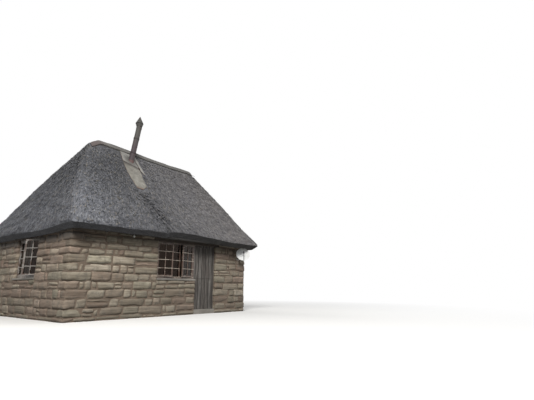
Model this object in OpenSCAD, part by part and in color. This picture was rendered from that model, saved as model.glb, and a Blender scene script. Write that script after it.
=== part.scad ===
// One-room stone cottage under a hipped thatch roof, with a plank stable door and casement windows.
// The origin is at the centre of the plan on the ground, +X runs along the ridge and the front faces -Y.

/* [Walls] */
// Outside length of the walls, along the ridge
wall_len = 6100; // [5800:10:6500]
// Outside depth of the walls, front to back
wall_dep = 4800; // [4500:10:5200]
// Thickness of the stone walls
wall_t = 380; // [340:5:420]
// Height of the wall heads above the ground
wall_h = 2290; // [2240:5:2400]
// Height of the floor above the ground
floor_h = 120; // [80:5:160]

/* [Windows] */
// Width of each window opening
win_w = 1400; // [1300:10:1500]
// Height of the sill tops above the ground
sill_z = 1050; // [950:10:1150]
// Height of the lintels, from the window and door heads to the wall heads
lintel_h = 200; // [160:10:240]
// Left edge of the front window, from the middle of the front
front_win_x = -600; // [-700:10:-500]
// Near edge of the end windows, from the middle of the end wall
end_win_y = -620; // [-760:10:-200]
// Set-back of the frames from the outer wall face
frame_set = 70; // [50:5:90]
// Depth of the window and door frames
frame_dep = 70; // [60:5:90]
// Width of the frame members seen from outside
frame_w = 45; // [40:1:50]
// Width of the sash stiles and rails
sash_w = 38; // [30:1:44]
// Thickness of the sashes
sash_t = 38; // [32:1:44]
// Width of the glazing bars
bar_w = 18; // [14:1:22]
// Thickness of the glass
glass_t = 4; // [3:0.5:6]
// Gap round a sash
sash_gap = 3; // [2:0.5:4]
// Radius of the sash hinges
butt_r = 6; // [5:0.5:8]
// Length of the sash hinges
butt_h = 60; // [50:5:70]
// Rows of panes in a window
pane_rows = 4; // [3:1:5]
// How far the front casements stand open, in degrees
front_ajar = 12; // [0:1:20]
// How far the near casement of the left end window stands open, in degrees
left_ajar = 26; // [0:1:38]
// Height of the sill slabs
sill_t = 60; // [50:5:80]
// How far the sill slabs stand out from the wall
sill_out = 35; // [20:5:60]
// Length of wall under each end of a lintel
lintel_bear = 150; // [120:5:180]

/* [Door] */
// Width of the door frame, outside to outside
door_w = 860; // [820:10:900]
// Width of the door posts and head
post_w = 60; // [50:5:70]
// Height of the joint between the two leaves
split_z = 1060; // [1000:5:1120]
// Running gap round the leaves
leaf_gap = 6; // [5:0.5:9]
// Number of planks in a leaf
plank_count = 5; // [4:1:6]
// Thickness of the planks
plank_t = 22; // [18:1:26]
// Gap between planks
plank_gap = 4; // [3:0.5:6]
// Width of the ledges and the brace
ledge_w = 110; // [90:5:130]
// Thickness of the ledges and the brace
ledge_t = 22; // [18:1:26]
// Height of the threshold above the floor
threshold_up = 15; // [10:1:20]
// Thickness of the door stops
stop_t = 20; // [14:1:24]
// Width of the door stops
stop_w = 18; // [14:1:22]
// Length of the hinge straps on the leaves
strap_len = 420; // [350:10:480]
// Width of the hinge straps
strap_w = 36; // [30:1:44]
// Thickness of the hinge straps
strap_t = 5; // [4:0.5:6]
// Radius of the hinge pins
pin_r = 5; // [4:0.5:6]
// Radius of the knuckles round the pins
knuckle_r = 9; // [8:0.5:10]

/* [Roof] */
// Overhang of the thatch beyond the front and back walls
eave_long = 500; // [460:10:540]
// Overhang of the thatch beyond the end walls
eave_end = 220; // [200:5:260]
// Pitch of the long slopes, in degrees
pitch = 46.7; // [45:0.1:49]
// Plan length of the left hip
hip_run_left = 1580; // [1400:10:1800]
// Plan length of the right hip
hip_run_right = 915; // [850:5:1200]
// Thickness of the thatch at the eave
thatch_t = 200; // [170:5:230]
// Thickness of the thatch on the hip ends
hip_thatch_t = 168; // [160:1:175]
// Swell of the hip ends, 1 is a straight slope
bulge = 1.1; // [1.05:0.005:1.2]
// Share of the hip ends' run that rolls over into the ridge
roll = 0.08; // [0:0.01:0.12]
// Corner radius of the thatch at the eave
corner_r = 130; // [120:10:260]
// Extra corner radius half-way up the slope
corner_swell = 200; // [150:10:240]
// Corner radius of the underside of the thatch
corner_in = 150; // [120:5:170]
// Diameter of the rafter poles
pole_d = 100; // [90:2:110]
// Distance between rafters
rafter_gap = 680; // [600:10:740]
// Thickness of the laths
lath_t = 38; // [30:1:45]
// Distance between laths, up the slope
lath_gap = 340; // [300:10:400]
// Place of the rafter to the right of the flue
rafter_x = -248; // [-270:1:-240]
// Diameter of the ridge pole
ridge_pole_d = 120; // [100:5:140]
// Width of the wall plates
plate_w = 100; // [90:5:120]
// Height of the wall plates
plate_h = 75; // [70:1:90]
// Set-back of the long wall plates from the wall face
plate_set = 40; // [30:2:44]
// Depth that the rafters are notched over the long plates
notch = 24; // [16:1:26]
// Diameter of the tie beams
tie_d = 110; // [90:5:120]
// Width of the ridge capping down each slope
cap_w = 270; // [220:10:320]
// Thickness of the ridge capping
cap_t = 45; // [35:1:60]
// Least gap between the ridge capping and a sheet below it, along the slope
cap_gap = 8; // [4:1:12]

/* [Flue] */
// Place of the flue along the ridge
flue_x = -515; // [-540:1:-490]
// Distance from the ridge to the flue where it leaves the thatch, in plan
flue_y = 485; // [460:1:500]
// Outer diameter of the flue pipe
flue_d = 180; // [160:2:200]
// Wall of the flue pipe
flue_wall = 4; // [3:0.5:6]
// Height of the pipe above the thatch
flue_h = 1355; // [1200:5:1500]
// Lean of the flue towards the right, in degrees
flue_lean = 8.9; // [0:0.1:10]
// Length of pipe below the thatch, inside the room
flue_in = 420; // [300:10:500]
// Diameter of the cowl
cowl_d = 258; // [240:2:300]
// Height of the cowl's cone
cowl_h = 265; // [200:5:300]
// Height of the tapered ring under the cone
cowl_ring_h = 105; // [80:5:120]
// Angle by which the cowl stands more upright than the pipe
cowl_back = 8; // [0:0.5:9]
// Thickness of the flashing sheets
sheet_t = 3; // [2:0.5:4]
// Width of the upper flashing sheet
flash_w = 620; // [580:10:640]
// Reach of the upper sheet above the flue, in plan
flash_up = 290; // [260:1:292]
// Reach of the upper sheet below the flue, in plan
flash_down = 235; // [200:5:250]
// Width of the side strip that hangs below the upper sheet
strip_w = 105; // [90:5:130]
// Reach of the side strip below the flue, in plan
strip_down = 445; // [400:5:460]
// Distance of the lower sheet's left edge from the flue
low_left = 362; // [340:2:380]
// Width of the head of the lower sheet
low_w = 560; // [500:5:600]
// Width of the foot of the lower sheet
low_foot = 420; // [340:10:460]
// Reach of the lower sheet below the flue, in plan
low_down = 1050; // [980:10:1080]
// Radius of the lower corners of the lower sheet
low_r = 70; // [50:5:90]

/* [Dish and lamp] */
// Diameter of the dish
dish_d = 465; // [440:5:520]
// Depth of the dish
dish_deep = 62; // [50:1:75]
// Distance of the dish's back from the right end of the front wall
dish_in = 310; // [280:5:340]
// Height of the middle of the dish below the wall heads
dish_drop = 405; // [400:5:430]
// Distance of the middle of the dish from the wall
dish_out = 225; // [210:5:240]
// Turn of the dish away from square to the wall, in degrees
dish_turn = 38; // [30:1:40]
// Upward tilt of the dish, in degrees
dish_tilt = 24; // [16:1:28]
// Place of the eave lamp along the front wall
lamp_x = -1430; // [-1460:5:-1400]
// Distance of the lamp's fitting below the wall head
lamp_drop = 80; // [25:5:110]
// Diameter of the lamp bulb
bulb_d = 60; // [50:1:70]

/* [Hidden] */
$fn = 48;

// Clearance between pieces that rest on or against each other
seat = 0.2;
// Radial running clearance of the hinge pins
pin_run = 0.1;
// Length that cuts reach past the faces they pass through
past = 2;
// Size of the blocks that cut pieces off at a plane
big = 12000;

// Heights that hang on the wall heads
dish_z = wall_h - dish_drop;

// Walls and openings
half_wl = wall_len / 2;
half_wd = wall_dep / 2;
head_z = wall_h - lintel_h;
win_h = head_z - sill_z;
door_x = front_win_x + win_w;
door_x1 = door_x + door_w;
frame_y = -half_wd + frame_set;
frame_in_y = frame_y + frame_dep;

// Door leaves, which lie flush with the inner face of the frame
leaf_x0 = door_x + post_w + leaf_gap;
leaf_x1 = door_x1 - post_w - leaf_gap;
leaf_w = leaf_x1 - leaf_x0;
threshold_z = floor_h + threshold_up;
leaf_bottom = threshold_z + leaf_gap;
leaf_top = head_z - post_w - leaf_gap;
hinge_x = leaf_x1 + leaf_gap / 2;
hinge_y = frame_in_y + knuckle_r;

// Underside of the thatch on the long slopes, carried by laths, rafters and plates
half_l = half_wl + eave_end;
half_d = half_wd + eave_long;
k_long = tan(pitch);
drop = thatch_t * cos(pitch);
in_half_d = half_d - thatch_t * sin(pitch);
plate_top = wall_h + plate_h;
plate_out = half_wd - plate_set;
in_z = plate_top - notch + (lath_t + pole_d) / cos(pitch) - (in_half_d - plate_out) * k_long;
eave_z = in_z + drop;
rise = half_d * k_long;
ridge_z = eave_z + rise;
in_rise = in_half_d * k_long;
ridge_left = half_l - hip_run_left;
ridge_right = half_l - hip_run_right;

// Underside of the thatch on the hips
k_left = rise / hip_run_left;
k_right = rise / hip_run_right;
a_left = atan(k_left);
a_right = atan(k_right);
in_half_left = half_l - (hip_thatch_t - drop * cos(a_left)) / sin(a_left);
in_half_right = half_l - (hip_thatch_t - drop * cos(a_right)) / sin(a_right);
in_ridge_left = in_half_left - in_rise / k_left;
in_ridge_right = in_half_right - in_rise / k_right;

// Distance of the rafter axes below the underside of the thatch, square to the slope
axis_in = lath_t + pole_d / 2;
// Plan distance of a rafter axis from the middle at height z, for a slope of angle a
function axis_at(half, a, z) = half - (z - in_z) / tan(a) - axis_in / sin(a);
hip_top_z = in_z + (in_half_d - axis_in / sin(pitch)) * k_long;
hip_foot_z = in_z + pole_d;

// Corner rings of the thatch
ring_rows = 10;
ring_steps = 4;

// Rows lie closer together towards the ridge, where the hips roll over
function row_at(t) = 1 - pow(1 - t, 1.4);

// One point of a ring: a corner of radius r, at angle a, in the quadrant of corner c
function ring_point(left, right, half, r, c, a, z) = [
    (c == 45 || c == 315 ? right - r : -left + r) + r * cos(a),
    (c < 180 ? half - r : -half + r) + r * sin(a), z];
// Half a ring corner, then the half of the next corner, so each slope ends at its hips
function ring_side(left, right, half, r, c, z) = concat(
    [for (i = [0 : ring_steps]) ring_point(left, right, half, r, c, c + 45 * i / ring_steps, z)],
    [for (i = [0 : ring_steps]) ring_point(left, right, half, r, (c + 90) % 360,
        c + 45 + 45 * i / ring_steps, z)]);
function hip_in(t) = (1 - roll) * pow(t, bulge) + roll * (1 - sqrt(1 - t * t));
function corner_at(t) = corner_r * (1 - t) + 4 * corner_swell * t * (1 - t);
function outer_row(c, t) = let (half = half_d * (1 - t), s = hip_in(t))
    ring_side(half_l - hip_run_left * s, half_l - hip_run_right * s, half,
        min(corner_at(t), half), c, eave_z + rise * t);
function inner_row(c, t) = let (half = in_half_d * (1 - t))
    ring_side(in_half_left - in_rise * t / k_left, in_half_right - in_rise * t / k_right, half,
        min(corner_in, half), c, in_z + in_rise * t);

// One slope of thatch between its two hips: c is the angle of its first corner
module thatch_slope(c, two_ends) {
    m = 2 * ring_steps + 2;
    n = ring_rows;
    tops = two_ends ? 2 : 1;
    outer = concat([for (i = [0 : n - 1]) each outer_row(c, row_at(i / n))],
        [for (j = [0 : tops - 1]) outer_row(c, 1)[j * (m - 1)]]);
    inner = concat([for (i = [0 : n - 1]) each inner_row(c, row_at(i / n))],
        [for (j = [0 : tops - 1]) inner_row(c, 1)[j * (m - 1)]]);
    base = len(outer);
    function o(i, j) = i < n ? i * m + j : n * m + (two_ends && j >= m / 2 ? 1 : 0);
    function k(i, j) = base + o(i, j);
    faces = concat(
        [for (i = [0 : n - 1], j = [0 : m - 2], f = [
            [o(i, j), o(i + 1, j), o(i + 1, j + 1)], [o(i, j), o(i + 1, j + 1), o(i, j + 1)],
            [k(i, j), k(i + 1, j + 1), k(i + 1, j)], [k(i, j), k(i, j + 1), k(i + 1, j + 1)]]) f],
        [for (i = [0 : n - 1], f = [
            [o(i, 0), k(i, 0), k(i + 1, 0)], [o(i, 0), k(i + 1, 0), o(i + 1, 0)],
            [o(i, m - 1), k(i + 1, m - 1), k(i, m - 1)],
            [o(i, m - 1), o(i + 1, m - 1), k(i + 1, m - 1)]]) f],
        [for (j = [0 : m - 2], f = [
            [o(0, j), o(0, j + 1), k(0, j + 1)], [o(0, j), k(0, j + 1), k(0, j)],
            [o(n, j), k(n, j), k(n, j + 1)], [o(n, j), k(n, j + 1), o(n, j + 1)]]) f]);
    polyhedron(concat(outer, inner),
        [for (f = faces) if (f[0] != f[1] && f[1] != f[2] && f[0] != f[2]) f], convexity = 6);
}

// A pole along an axis from point a to point b
module pole(a, b, d) {
    v = b - a;
    translate(a) rotate([0, acos(v[2] / norm(v)), atan2(v[1], v[0])]) rotate(25)
        cylinder(d = d, h = norm(v));
}

// A wall panel that stands on the ground, from corner a to corner b in plan
module wall_block(a, b, h) {
    translate([a[0], a[1], 0]) cube([b[0] - a[0], b[1] - a[1], h]);
}

// Places its children in the left end wall, seen from outside, x to the right and y inwards
module on_left_wall() {
    translate([-half_wl, end_win_y + win_w, 0]) rotate([0, 0, -90]) children();
}

// Places its children in the right end wall in the same way
module on_right_wall() {
    translate([half_wl, end_win_y, 0]) rotate([0, 0, 90]) children();
}

module on_front_wall() {
    translate([front_win_x, -half_wd, 0]) children();
}

// An end wall between the front and back walls, which starts at x in its own frame
module end_wall(start) {
    difference() {
        translate([start, 0, 0]) cube([wall_dep - 2 * wall_t, wall_t, wall_h]);
        translate([0, -past, sill_z - sill_t]) cube([win_w, wall_t + 2 * past, wall_h]);
        translate([-lintel_bear, -past, head_z])
            cube([win_w + 2 * lintel_bear, wall_t + 2 * past, wall_h]);
    }
}

module left_wall() {
    color("tan") on_left_wall() end_wall(end_win_y + win_w - half_wd + wall_t);
}

module right_wall() {
    color("tan") on_right_wall() end_wall(wall_t - half_wd - end_win_y);
}

module back_wall() {
    color("tan") wall_block([-half_wl, half_wd - wall_t], [half_wl, half_wd], wall_h);
}

module front_wall_left() {
    color("tan") difference() {
        wall_block([-half_wl, -half_wd], [front_win_x, -half_wd + wall_t], wall_h);
        translate([front_win_x - lintel_bear, -half_wd - past, head_z])
            cube([lintel_bear + past, wall_t + 2 * past, lintel_h + past]);
    }
}

module front_wall_sill() {
    color("tan") wall_block([front_win_x, -half_wd], [door_x, -half_wd + wall_t], sill_z - sill_t);
}

module front_wall_right() {
    color("tan") difference() {
        wall_block([door_x1, -half_wd], [half_wl, -half_wd + wall_t], wall_h);
        translate([door_x1 - past, -half_wd - past, head_z])
            cube([lintel_bear + past, wall_t + 2 * past, lintel_h + past]);
    }
}

module lintel(length) {
    translate([-lintel_bear, 0, head_z]) cube([length + 2 * lintel_bear, wall_t, lintel_h]);
}

module lintels() {
    color("saddlebrown") {
        on_front_wall() lintel(win_w + door_w);
        on_left_wall() lintel(win_w);
        on_right_wall() lintel(win_w);
    }
}

module floor_slab() {
    color("gray") translate([-half_wl + wall_t, -half_wd + wall_t, 0])
        cube([wall_len - 2 * wall_t, wall_dep - 2 * wall_t, floor_h]);
}

// Sill slab across the wall, weathered down towards its outer edge
module sill() {
    fall = sill_t / 3;
    translate([0, 0, sill_z - sill_t]) rotate([90, 0, 90]) linear_extrude(win_w)
        polygon([[-sill_out, 0], [wall_t, 0], [wall_t, sill_t], [frame_set, sill_t],
            [-sill_out, sill_t - fall]]);
}

module window_sills() {
    color("darkgray") {
        on_front_wall() sill();
        on_left_wall() sill();
        on_right_wall() sill();
    }
}

// Two mullions divide a window into bays of two, one and two columns of panes
column_w = (win_w - 4 * frame_w) / 5;
bay_w = 2 * column_w;
clear_h = win_h - 2 * frame_w;
pane_h = clear_h / pane_rows;
// Glazing bars lie in front of the glass
bar_dep = sash_t / 2;

module window_frame() {
    translate([0, frame_set, sill_z]) {
        difference() {
            cube([win_w, frame_dep, win_h]);
            for (x = [frame_w, frame_w + bay_w + frame_w, win_w - frame_w - bay_w],
                 w = [x == frame_w + bay_w + frame_w ? column_w : bay_w])
                translate([x, -past, frame_w]) cube([w, frame_dep + 2 * past, clear_h]);
        }
        for (i = [1 : pane_rows - 1])
            translate([bay_w + 2 * frame_w - 1, 0, frame_w + i * pane_h - bar_w / 2])
                cube([column_w + 2, bar_dep, bar_w]);
    }
}

// A casement hinged on its left edge, with the pivot at the origin
sash_wide = bay_w - 2 * sash_gap;
sash_high = clear_h - 2 * sash_gap;

module casement() {
    translate([0, butt_r + seat, 0]) {
        translate([sash_gap, 0, sash_gap]) {
            difference() {
                cube([sash_wide, sash_t, sash_high]);
                translate([sash_w, -past, sash_w])
                    cube([sash_wide - 2 * sash_w, sash_t + 2 * past, sash_high - 2 * sash_w]);
            }
            translate([(sash_wide - bar_w) / 2, 0, sash_w - 1])
                cube([bar_w, bar_dep, sash_high - 2 * sash_w + 2]);
            for (i = [1 : pane_rows - 1])
                translate([sash_w - 1, 0, i * pane_h - bar_w / 2 - sash_gap])
                    cube([sash_wide - 2 * sash_w + 2, bar_dep, bar_w]);
        }
        for (z = [sash_high / 6, sash_high * 5 / 6 - butt_h])
            translate([0, -butt_r - seat, z]) {
                cylinder(r = butt_r, h = butt_h);
                translate([0, butt_r + seat - 4, 0]) cube([sash_w, 5, butt_h]);
            }
    }
}

module casement_glass() {
    translate([sash_gap + sash_w + seat, butt_r + seat + bar_dep + seat, sash_gap + sash_w + seat])
        cube([sash_wide - 2 * sash_w - 2 * seat, glass_t, sash_high - 2 * sash_w - 2 * seat]);
}

// Puts a left and a right casement in their bays, standing open by the two angles
module in_bays(left_open, right_open) {
    translate([frame_w, frame_set - butt_r - seat, sill_z + frame_w])
        rotate([0, 0, -left_open]) children(0);
    translate([win_w - frame_w, frame_set - butt_r - seat, sill_z + frame_w])
        rotate([0, 0, right_open]) mirror([1, 0, 0]) children(0);
}

module window_glass(left_open, right_open) {
    in_bays(left_open, right_open) casement_glass();
    translate([2 * frame_w + bay_w + seat, frame_set + bar_dep + seat, sill_z + frame_w + seat])
        cube([column_w - 2 * seat, glass_t, clear_h - 2 * seat]);
}

module front_window_frame() { color("sienna") on_front_wall() window_frame(); }
module front_window_sashes() {
    color("peru") on_front_wall() in_bays(front_ajar, front_ajar) casement();
}
module front_window_glass() {
    color("lightblue", 0.4) on_front_wall() window_glass(front_ajar, front_ajar);
}
module left_window_frame() { color("sienna") on_left_wall() window_frame(); }
module left_window_sashes() { color("peru") on_left_wall() in_bays(0, left_ajar) casement(); }
module left_window_glass() {
    color("lightblue", 0.4) on_left_wall() window_glass(0, left_ajar);
}
module right_window_frame() { color("sienna") on_right_wall() window_frame(); }
module right_window_sashes() { color("peru") on_right_wall() in_bays(0, 0) casement(); }
module right_window_glass() { color("lightblue", 0.4) on_right_wall() window_glass(0, 0); }

// Two posts and a head, with stops on the outer side of the leaves
module door_frame() {
    stop_y = frame_in_y - plank_t - ledge_t - leaf_gap - stop_t;
    color("sienna") {
        difference() {
            translate([door_x, frame_y, threshold_z])
                cube([door_w, frame_dep, head_z - threshold_z]);
            translate([door_x + post_w, frame_y - past, threshold_z - past])
                cube([door_w - 2 * post_w, frame_dep + 2 * past, head_z - post_w - threshold_z + past]);
        }
        for (x = [door_x + post_w - 1, door_x1 - post_w - stop_w])
            translate([x, stop_y, threshold_z])
                cube([stop_w + 1, stop_t, head_z - post_w - threshold_z]);
        translate([door_x + post_w - 1, stop_y, head_z - post_w - stop_w])
            cube([door_w - 2 * post_w + 2, stop_t, stop_w + 1]);
    }
}

module door_threshold() {
    color("gray") translate([door_x, -half_wd, 0]) cube([door_w, wall_t, threshold_z]);
}

// A leaf of upright planks on the outer side, held by two ledges and a brace on the inner side
module leaf(z0, z1) {
    h = z1 - z0;
    plank_w = (leaf_w - (plank_count - 1) * plank_gap) / plank_count;
    ledge_in = 0.12 * h;
    translate([leaf_x0, frame_in_y - plank_t - ledge_t, z0]) {
        for (i = [0 : plank_count - 1])
            translate([i * (plank_w + plank_gap), 0, 0]) cube([plank_w, plank_t, h]);
        for (z = [ledge_in, h - ledge_in - ledge_w])
            translate([0, plank_t - 1, z]) cube([leaf_w, ledge_t + 1, ledge_w]);
        // The brace rises from the hinge side to the free side
        translate([0, plank_t + ledge_t, 0]) rotate([90, 0, 0]) linear_extrude(ledge_t + 1)
            polygon([[leaf_w, ledge_in + ledge_w - 1], [leaf_w - 1.4 * ledge_w, ledge_in + ledge_w - 1],
                [0, h - ledge_in - ledge_w + 1], [1.4 * ledge_w, h - ledge_in - ledge_w + 1]]);
    }
}

top_z0 = split_z + leaf_gap / 2;
bottom_z1 = split_z - leaf_gap / 2;

module door_top_leaf() { color("silver") leaf(top_z0, leaf_top); }
module door_bottom_leaf() { color("silver") leaf(leaf_bottom, bottom_z1); }

// Heights of the middle of the two straps of a leaf, on its ledges
function strap_z(z0, z1) = let (h = z1 - z0)
    [z0 + 0.12 * h + ledge_w / 2, z1 - 0.12 * h - ledge_w / 2];

// A strap hinge on the ledge, with a knuckle that turns on the pin
module strap(z) {
    translate([hinge_x, hinge_y, z - strap_w / 2]) difference() {
        union() {
            cylinder(r = knuckle_r, h = strap_w);
            translate([-strap_len, frame_in_y + seat - hinge_y, 0])
                cube([strap_len - knuckle_r / 2, strap_t, strap_w]);
        }
        translate([0, 0, -past]) cylinder(r = pin_r + pin_run, h = strap_w + 2 * past);
    }
}

module door_top_straps() {
    color("dimgray") for (z = strap_z(top_z0, leaf_top)) strap(z);
}
module door_bottom_straps() {
    color("dimgray") for (z = strap_z(leaf_bottom, bottom_z1)) strap(z);
}

// A plate on the door post that carries the pin and the knuckle below the strap's
module door_hinge_pins() {
    low = 24;
    color("dimgray") for (z = concat(strap_z(top_z0, leaf_top), strap_z(leaf_bottom, bottom_z1)))
        translate([hinge_x, hinge_y, z - strap_w / 2 - seat]) {
            translate([0, 0, -low]) cylinder(r = knuckle_r, h = low);
            translate([0, 0, -1]) cylinder(r = pin_r, h = strap_w + seat + 4);
            translate([knuckle_r / 3, frame_in_y + seat - hinge_y, -low])
                cube([post_w, strap_t, low]);
            translate([knuckle_r + 4, frame_in_y + seat - hinge_y, -low])
                cube([post_w - knuckle_r - 8, strap_t, low + strap_w]);
        }
}

// Plates on all four walls, halved together at the corners
plate_left = axis_at(in_half_left, a_left, plate_top);
plate_right = axis_at(in_half_right, a_right, plate_top);

module plate_ring() {
    translate([0, 0, wall_h]) {
        for (y = [-plate_out, plate_out - plate_w])
            translate([-plate_left - plate_w / 2, y, 0])
                cube([plate_left + plate_right + plate_w, plate_w, plate_h]);
        for (x = [-plate_left, plate_right])
            translate([x - plate_w / 2, -plate_out, 0]) cube([plate_w, 2 * plate_out, plate_h]);
    }
}

module wall_plate() { color("burlywood") plate_ring(); }

ridge_pole_z = in_z + in_rise - (lath_t + pole_d + ridge_pole_d / 2) / cos(pitch) - seat;
hip_top_left = axis_at(in_half_left, a_left, hip_top_z);
hip_top_right = axis_at(in_half_right, a_right, hip_top_z);

module ridge_pole() {
    color("burlywood") translate([-hip_top_left + pole_d, 0, ridge_pole_z]) rotate([0, 90, 0])
        cylinder(d = ridge_pole_d, h = hip_top_left + hip_top_right - 2 * pole_d);
}

// Ends of the hip rafter axes in plan, at a height
function hip_at(side, z) = side < 0 ? -axis_at(in_half_left, a_left, z)
    : axis_at(in_half_right, a_right, z);
function deep_at(z) = axis_at(in_half_d, pitch, z);

// Plan of a hip axis at distance y in front of the ridge, kept clear by half a pole on one side
function hip_line(side, y, keep) = let (m = k_long / (side < 0 ? k_left : k_right))
    (side < 0 ? hip_top_left : hip_top_right) + m * y
    + keep * (pole_d / 2 + seat) * sqrt(1 + m * m);

module rafters_long() {
    foot_z = in_z + pole_d / 3;
    deep = half_d + pole_d;
    intersection() {
        for (n = [-4 : 6]) {
            x = rafter_x + n * rafter_gap;
            if (x > -half_wl + pole_d && x < half_wl - dish_d)
                pole([x, -deep_at(foot_z), foot_z], [x, 0, hip_top_z], pole_d);
        }
        linear_extrude(ridge_z) polygon([
            [-hip_line(-1, deep, -1), -deep], [hip_line(1, deep, -1), -deep],
            [hip_line(1, 0, -1), -seat / 2], [-hip_line(-1, 0, -1), -seat / 2]]);
    }
}

module rafters_front() {
    color("burlywood") difference() {
        rafters_long();
        plate_ring();
    }
}

module rafters_back() {
    color("burlywood") mirror([0, 1, 0]) difference() {
        rafters_long();
        plate_ring();
    }
}

// Rafters of one end, which stand on the plate: side is -1 at the left and 1 at the right
module rafters_end(side) {
    half = side < 0 ? in_half_left : in_half_right;
    a = side < 0 ? a_left : a_right;
    deep = half_d + pole_d;
    far = half_l + deep;
    intersection() {
        for (n = [-2 : 2])
            pole([side * axis_at(half, a, wall_h), n * rafter_gap, wall_h],
                [side * axis_at(half, a, hip_top_z), n * rafter_gap, hip_top_z], pole_d);
        translate([0, 0, plate_top]) linear_extrude(ridge_z) polygon([
            [side * hip_line(side, 0, 1), 0], [side * hip_line(side, deep, 1), deep],
            [side * far, deep], [side * far, -deep], [side * hip_line(side, deep, 1), -deep]]);
    }
}

module rafters_ends() {
    color("burlywood") {
        rafters_end(-1);
        rafters_end(1);
    }
}

module hip_rafter(side) {
    difference() {
        pole([hip_at(side, hip_foot_z), -deep_at(hip_foot_z), hip_foot_z],
            [hip_at(side, hip_top_z), 0, hip_top_z], pole_d);
        plate_ring();
        translate([-big / 2, -seat / 2, 0]) cube([big, big, big]);
    }
}

module hip_rafters() {
    color("burlywood") for (side = [-1, 1]) {
        hip_rafter(side);
        mirror([0, 1, 0]) hip_rafter(side);
    }
}

// Laths of a slope whose foot runs from x0 to x1 at in_z and closes in by k0 and k1 on the way up
module laths(half, a, x0, x1, k0, k1) {
    slope_len = in_rise / sin(a);
    count = floor((slope_len - lath_gap / 2) / lath_gap);
    for (i = [0 : count]) {
        up = lath_t + i * lath_gap;
        z = (up + lath_t) * sin(a);
        left = x0 + z / k0 + corner_in + seat;
        right = x1 - z / k1 - corner_in - seat;
        if (right - left > lath_gap)
            translate([0, -half, in_z]) rotate([a, 0, 0])
                translate([left, up, -lath_t + seat]) cube([right - left, lath_t, lath_t - 2 * seat]);
    }
}

// The hole through laths and thatch for the flue
module flue_axis() {
    translate([flue_x, -flue_y, ridge_z - flue_y * k_long]) rotate([0, flue_lean, 0]) children();
}

module flue_room(r, low, high) {
    flue_axis() translate([0, 0, -low]) cylinder(r = r, h = low + high);
}

module long_laths() {
    laths(in_half_d, pitch, -in_half_left, in_half_right, k_left, k_right);
}

module laths_front() {
    color("tan") difference() {
        long_laths();
        flue_room(flue_d / 2 + lath_t, flue_h / 2, flue_h / 4);
    }
}

module laths_back() { color("tan") mirror([0, 1, 0]) long_laths(); }

module laths_ends() {
    color("tan") {
        rotate([0, 0, -90]) laths(in_half_left, a_left, -in_half_d, in_half_d, k_long, k_long);
        rotate([0, 0, 90]) laths(in_half_right, a_right, -in_half_d, in_half_d, k_long, k_long);
    }
}

// Tie beams lie across the long plates between rafters
module tie_beams() {
    flat = 5;
    color("burlywood") for (n = [-1, 1, 3])
        translate([rafter_x + (n - 0.5) * rafter_gap, -plate_out, plate_top + tie_d / 2 - flat])
            difference() {
                rotate([-90, 0, 0]) cylinder(d = tie_d, h = 2 * plate_out);
                translate([-tie_d, -past, -tie_d + flat - tie_d / 2])
                    cube([2 * tie_d, plate_w + 2 * past, tie_d]);
                translate([-tie_d, 2 * plate_out - plate_w - past, -tie_d + flat - tie_d / 2])
                    cube([2 * tie_d, plate_w + 2 * past, tie_d]);
            }
}

module thatch_front() {
    color("dimgray") difference() {
        thatch_slope(225, true);
        flue_room(flue_d / 2 + 5, flue_h / 2, flue_h / 4);
    }
}
module thatch_back() { color("dimgray") thatch_slope(45, true); }
module thatch_left_hip() { color("dimgray") thatch_slope(135, false); }
module thatch_right_hip() { color("dimgray") thatch_slope(315, false); }

// A mortar capping bent over the ridge, rounded on top
module ridge_cap() {
    over = cap_t;
    color("lightgray") translate([-ridge_left - over, 0, ridge_z + seat / cos(pitch)])
        rotate([90, 0, 90]) linear_extrude(ridge_left + ridge_right + 2 * over) difference() {
            union() {
                rotate(-pitch) translate([0, 0]) square([cap_w, cap_t]);
                rotate(180 + pitch) translate([0, -cap_t]) square([cap_w, cap_t]);
                circle(r = cap_t);
            }
            polygon([[0, 0], [cap_w, -cap_w * k_long], [-cap_w, -cap_w * k_long]]);
        }
}

flue_below = thatch_t / cos(pitch) + flue_in;

module flue_pipe() {
    color("dimgray") flue_axis() difference() {
        translate([0, 0, -flue_below]) cylinder(d = flue_d, h = flue_below + flue_h);
        translate([0, 0, -flue_below - past])
            cylinder(d = flue_d - 2 * flue_wall, h = flue_below + flue_h + 2 * past);
    }
}

// A pointed cap over a tapered ring, on a band and three stays; it sits more upright than the pipe
module flue_cowl() {
    band_h = 60;
    lift = 18;
    brim = 12;
    skin = 3;
    r = flue_d / 2 + seat;
    stay_h = lift + cowl_ring_h + brim;
    color("dimgray") flue_axis() translate([0, 0, flue_h]) difference() {
        union() {
            translate([0, 0, -band_h]) cylinder(r = r + skin + 1, h = band_h);
            rotate([0, -cowl_back, 0]) {
                for (i = [0 : 2]) rotate(i * 120)
                    translate([r + 1, -10, -band_h / 2]) cube([skin, 20, band_h / 2 + stay_h + brim]);
                translate([0, 0, lift]) rotate_extrude() polygon([[r, 0], [r + skin, 0],
                    [cowl_d / 2 - 4, cowl_ring_h], [cowl_d / 2 - 4 - skin, cowl_ring_h]]);
                translate([0, 0, stay_h]) rotate_extrude() polygon([[cowl_d / 2, 0], [cowl_d / 2, brim],
                    [0, brim + cowl_h], [0, brim + cowl_h - 5], [r + 1, brim],
                    [r + 1, brim - skin], [cowl_d / 2 - skin, brim - skin], [cowl_d / 2 - skin, 0]]);
            }
        }
        translate([0, 0, -band_h - past]) cylinder(r = r, h = band_h + past + seat);
    }
}

// Places its children on the front slope: x along the ridge, y up the slope from the eave
module on_front_slope(lift) {
    translate([0, -half_d, eave_z]) rotate([pitch, 0, 0]) translate([0, 0, lift]) children();
}

// Slope distance from the eave of a point at plan distance y from the ridge
function up_at(y) = (half_d - y) / cos(pitch);

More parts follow.
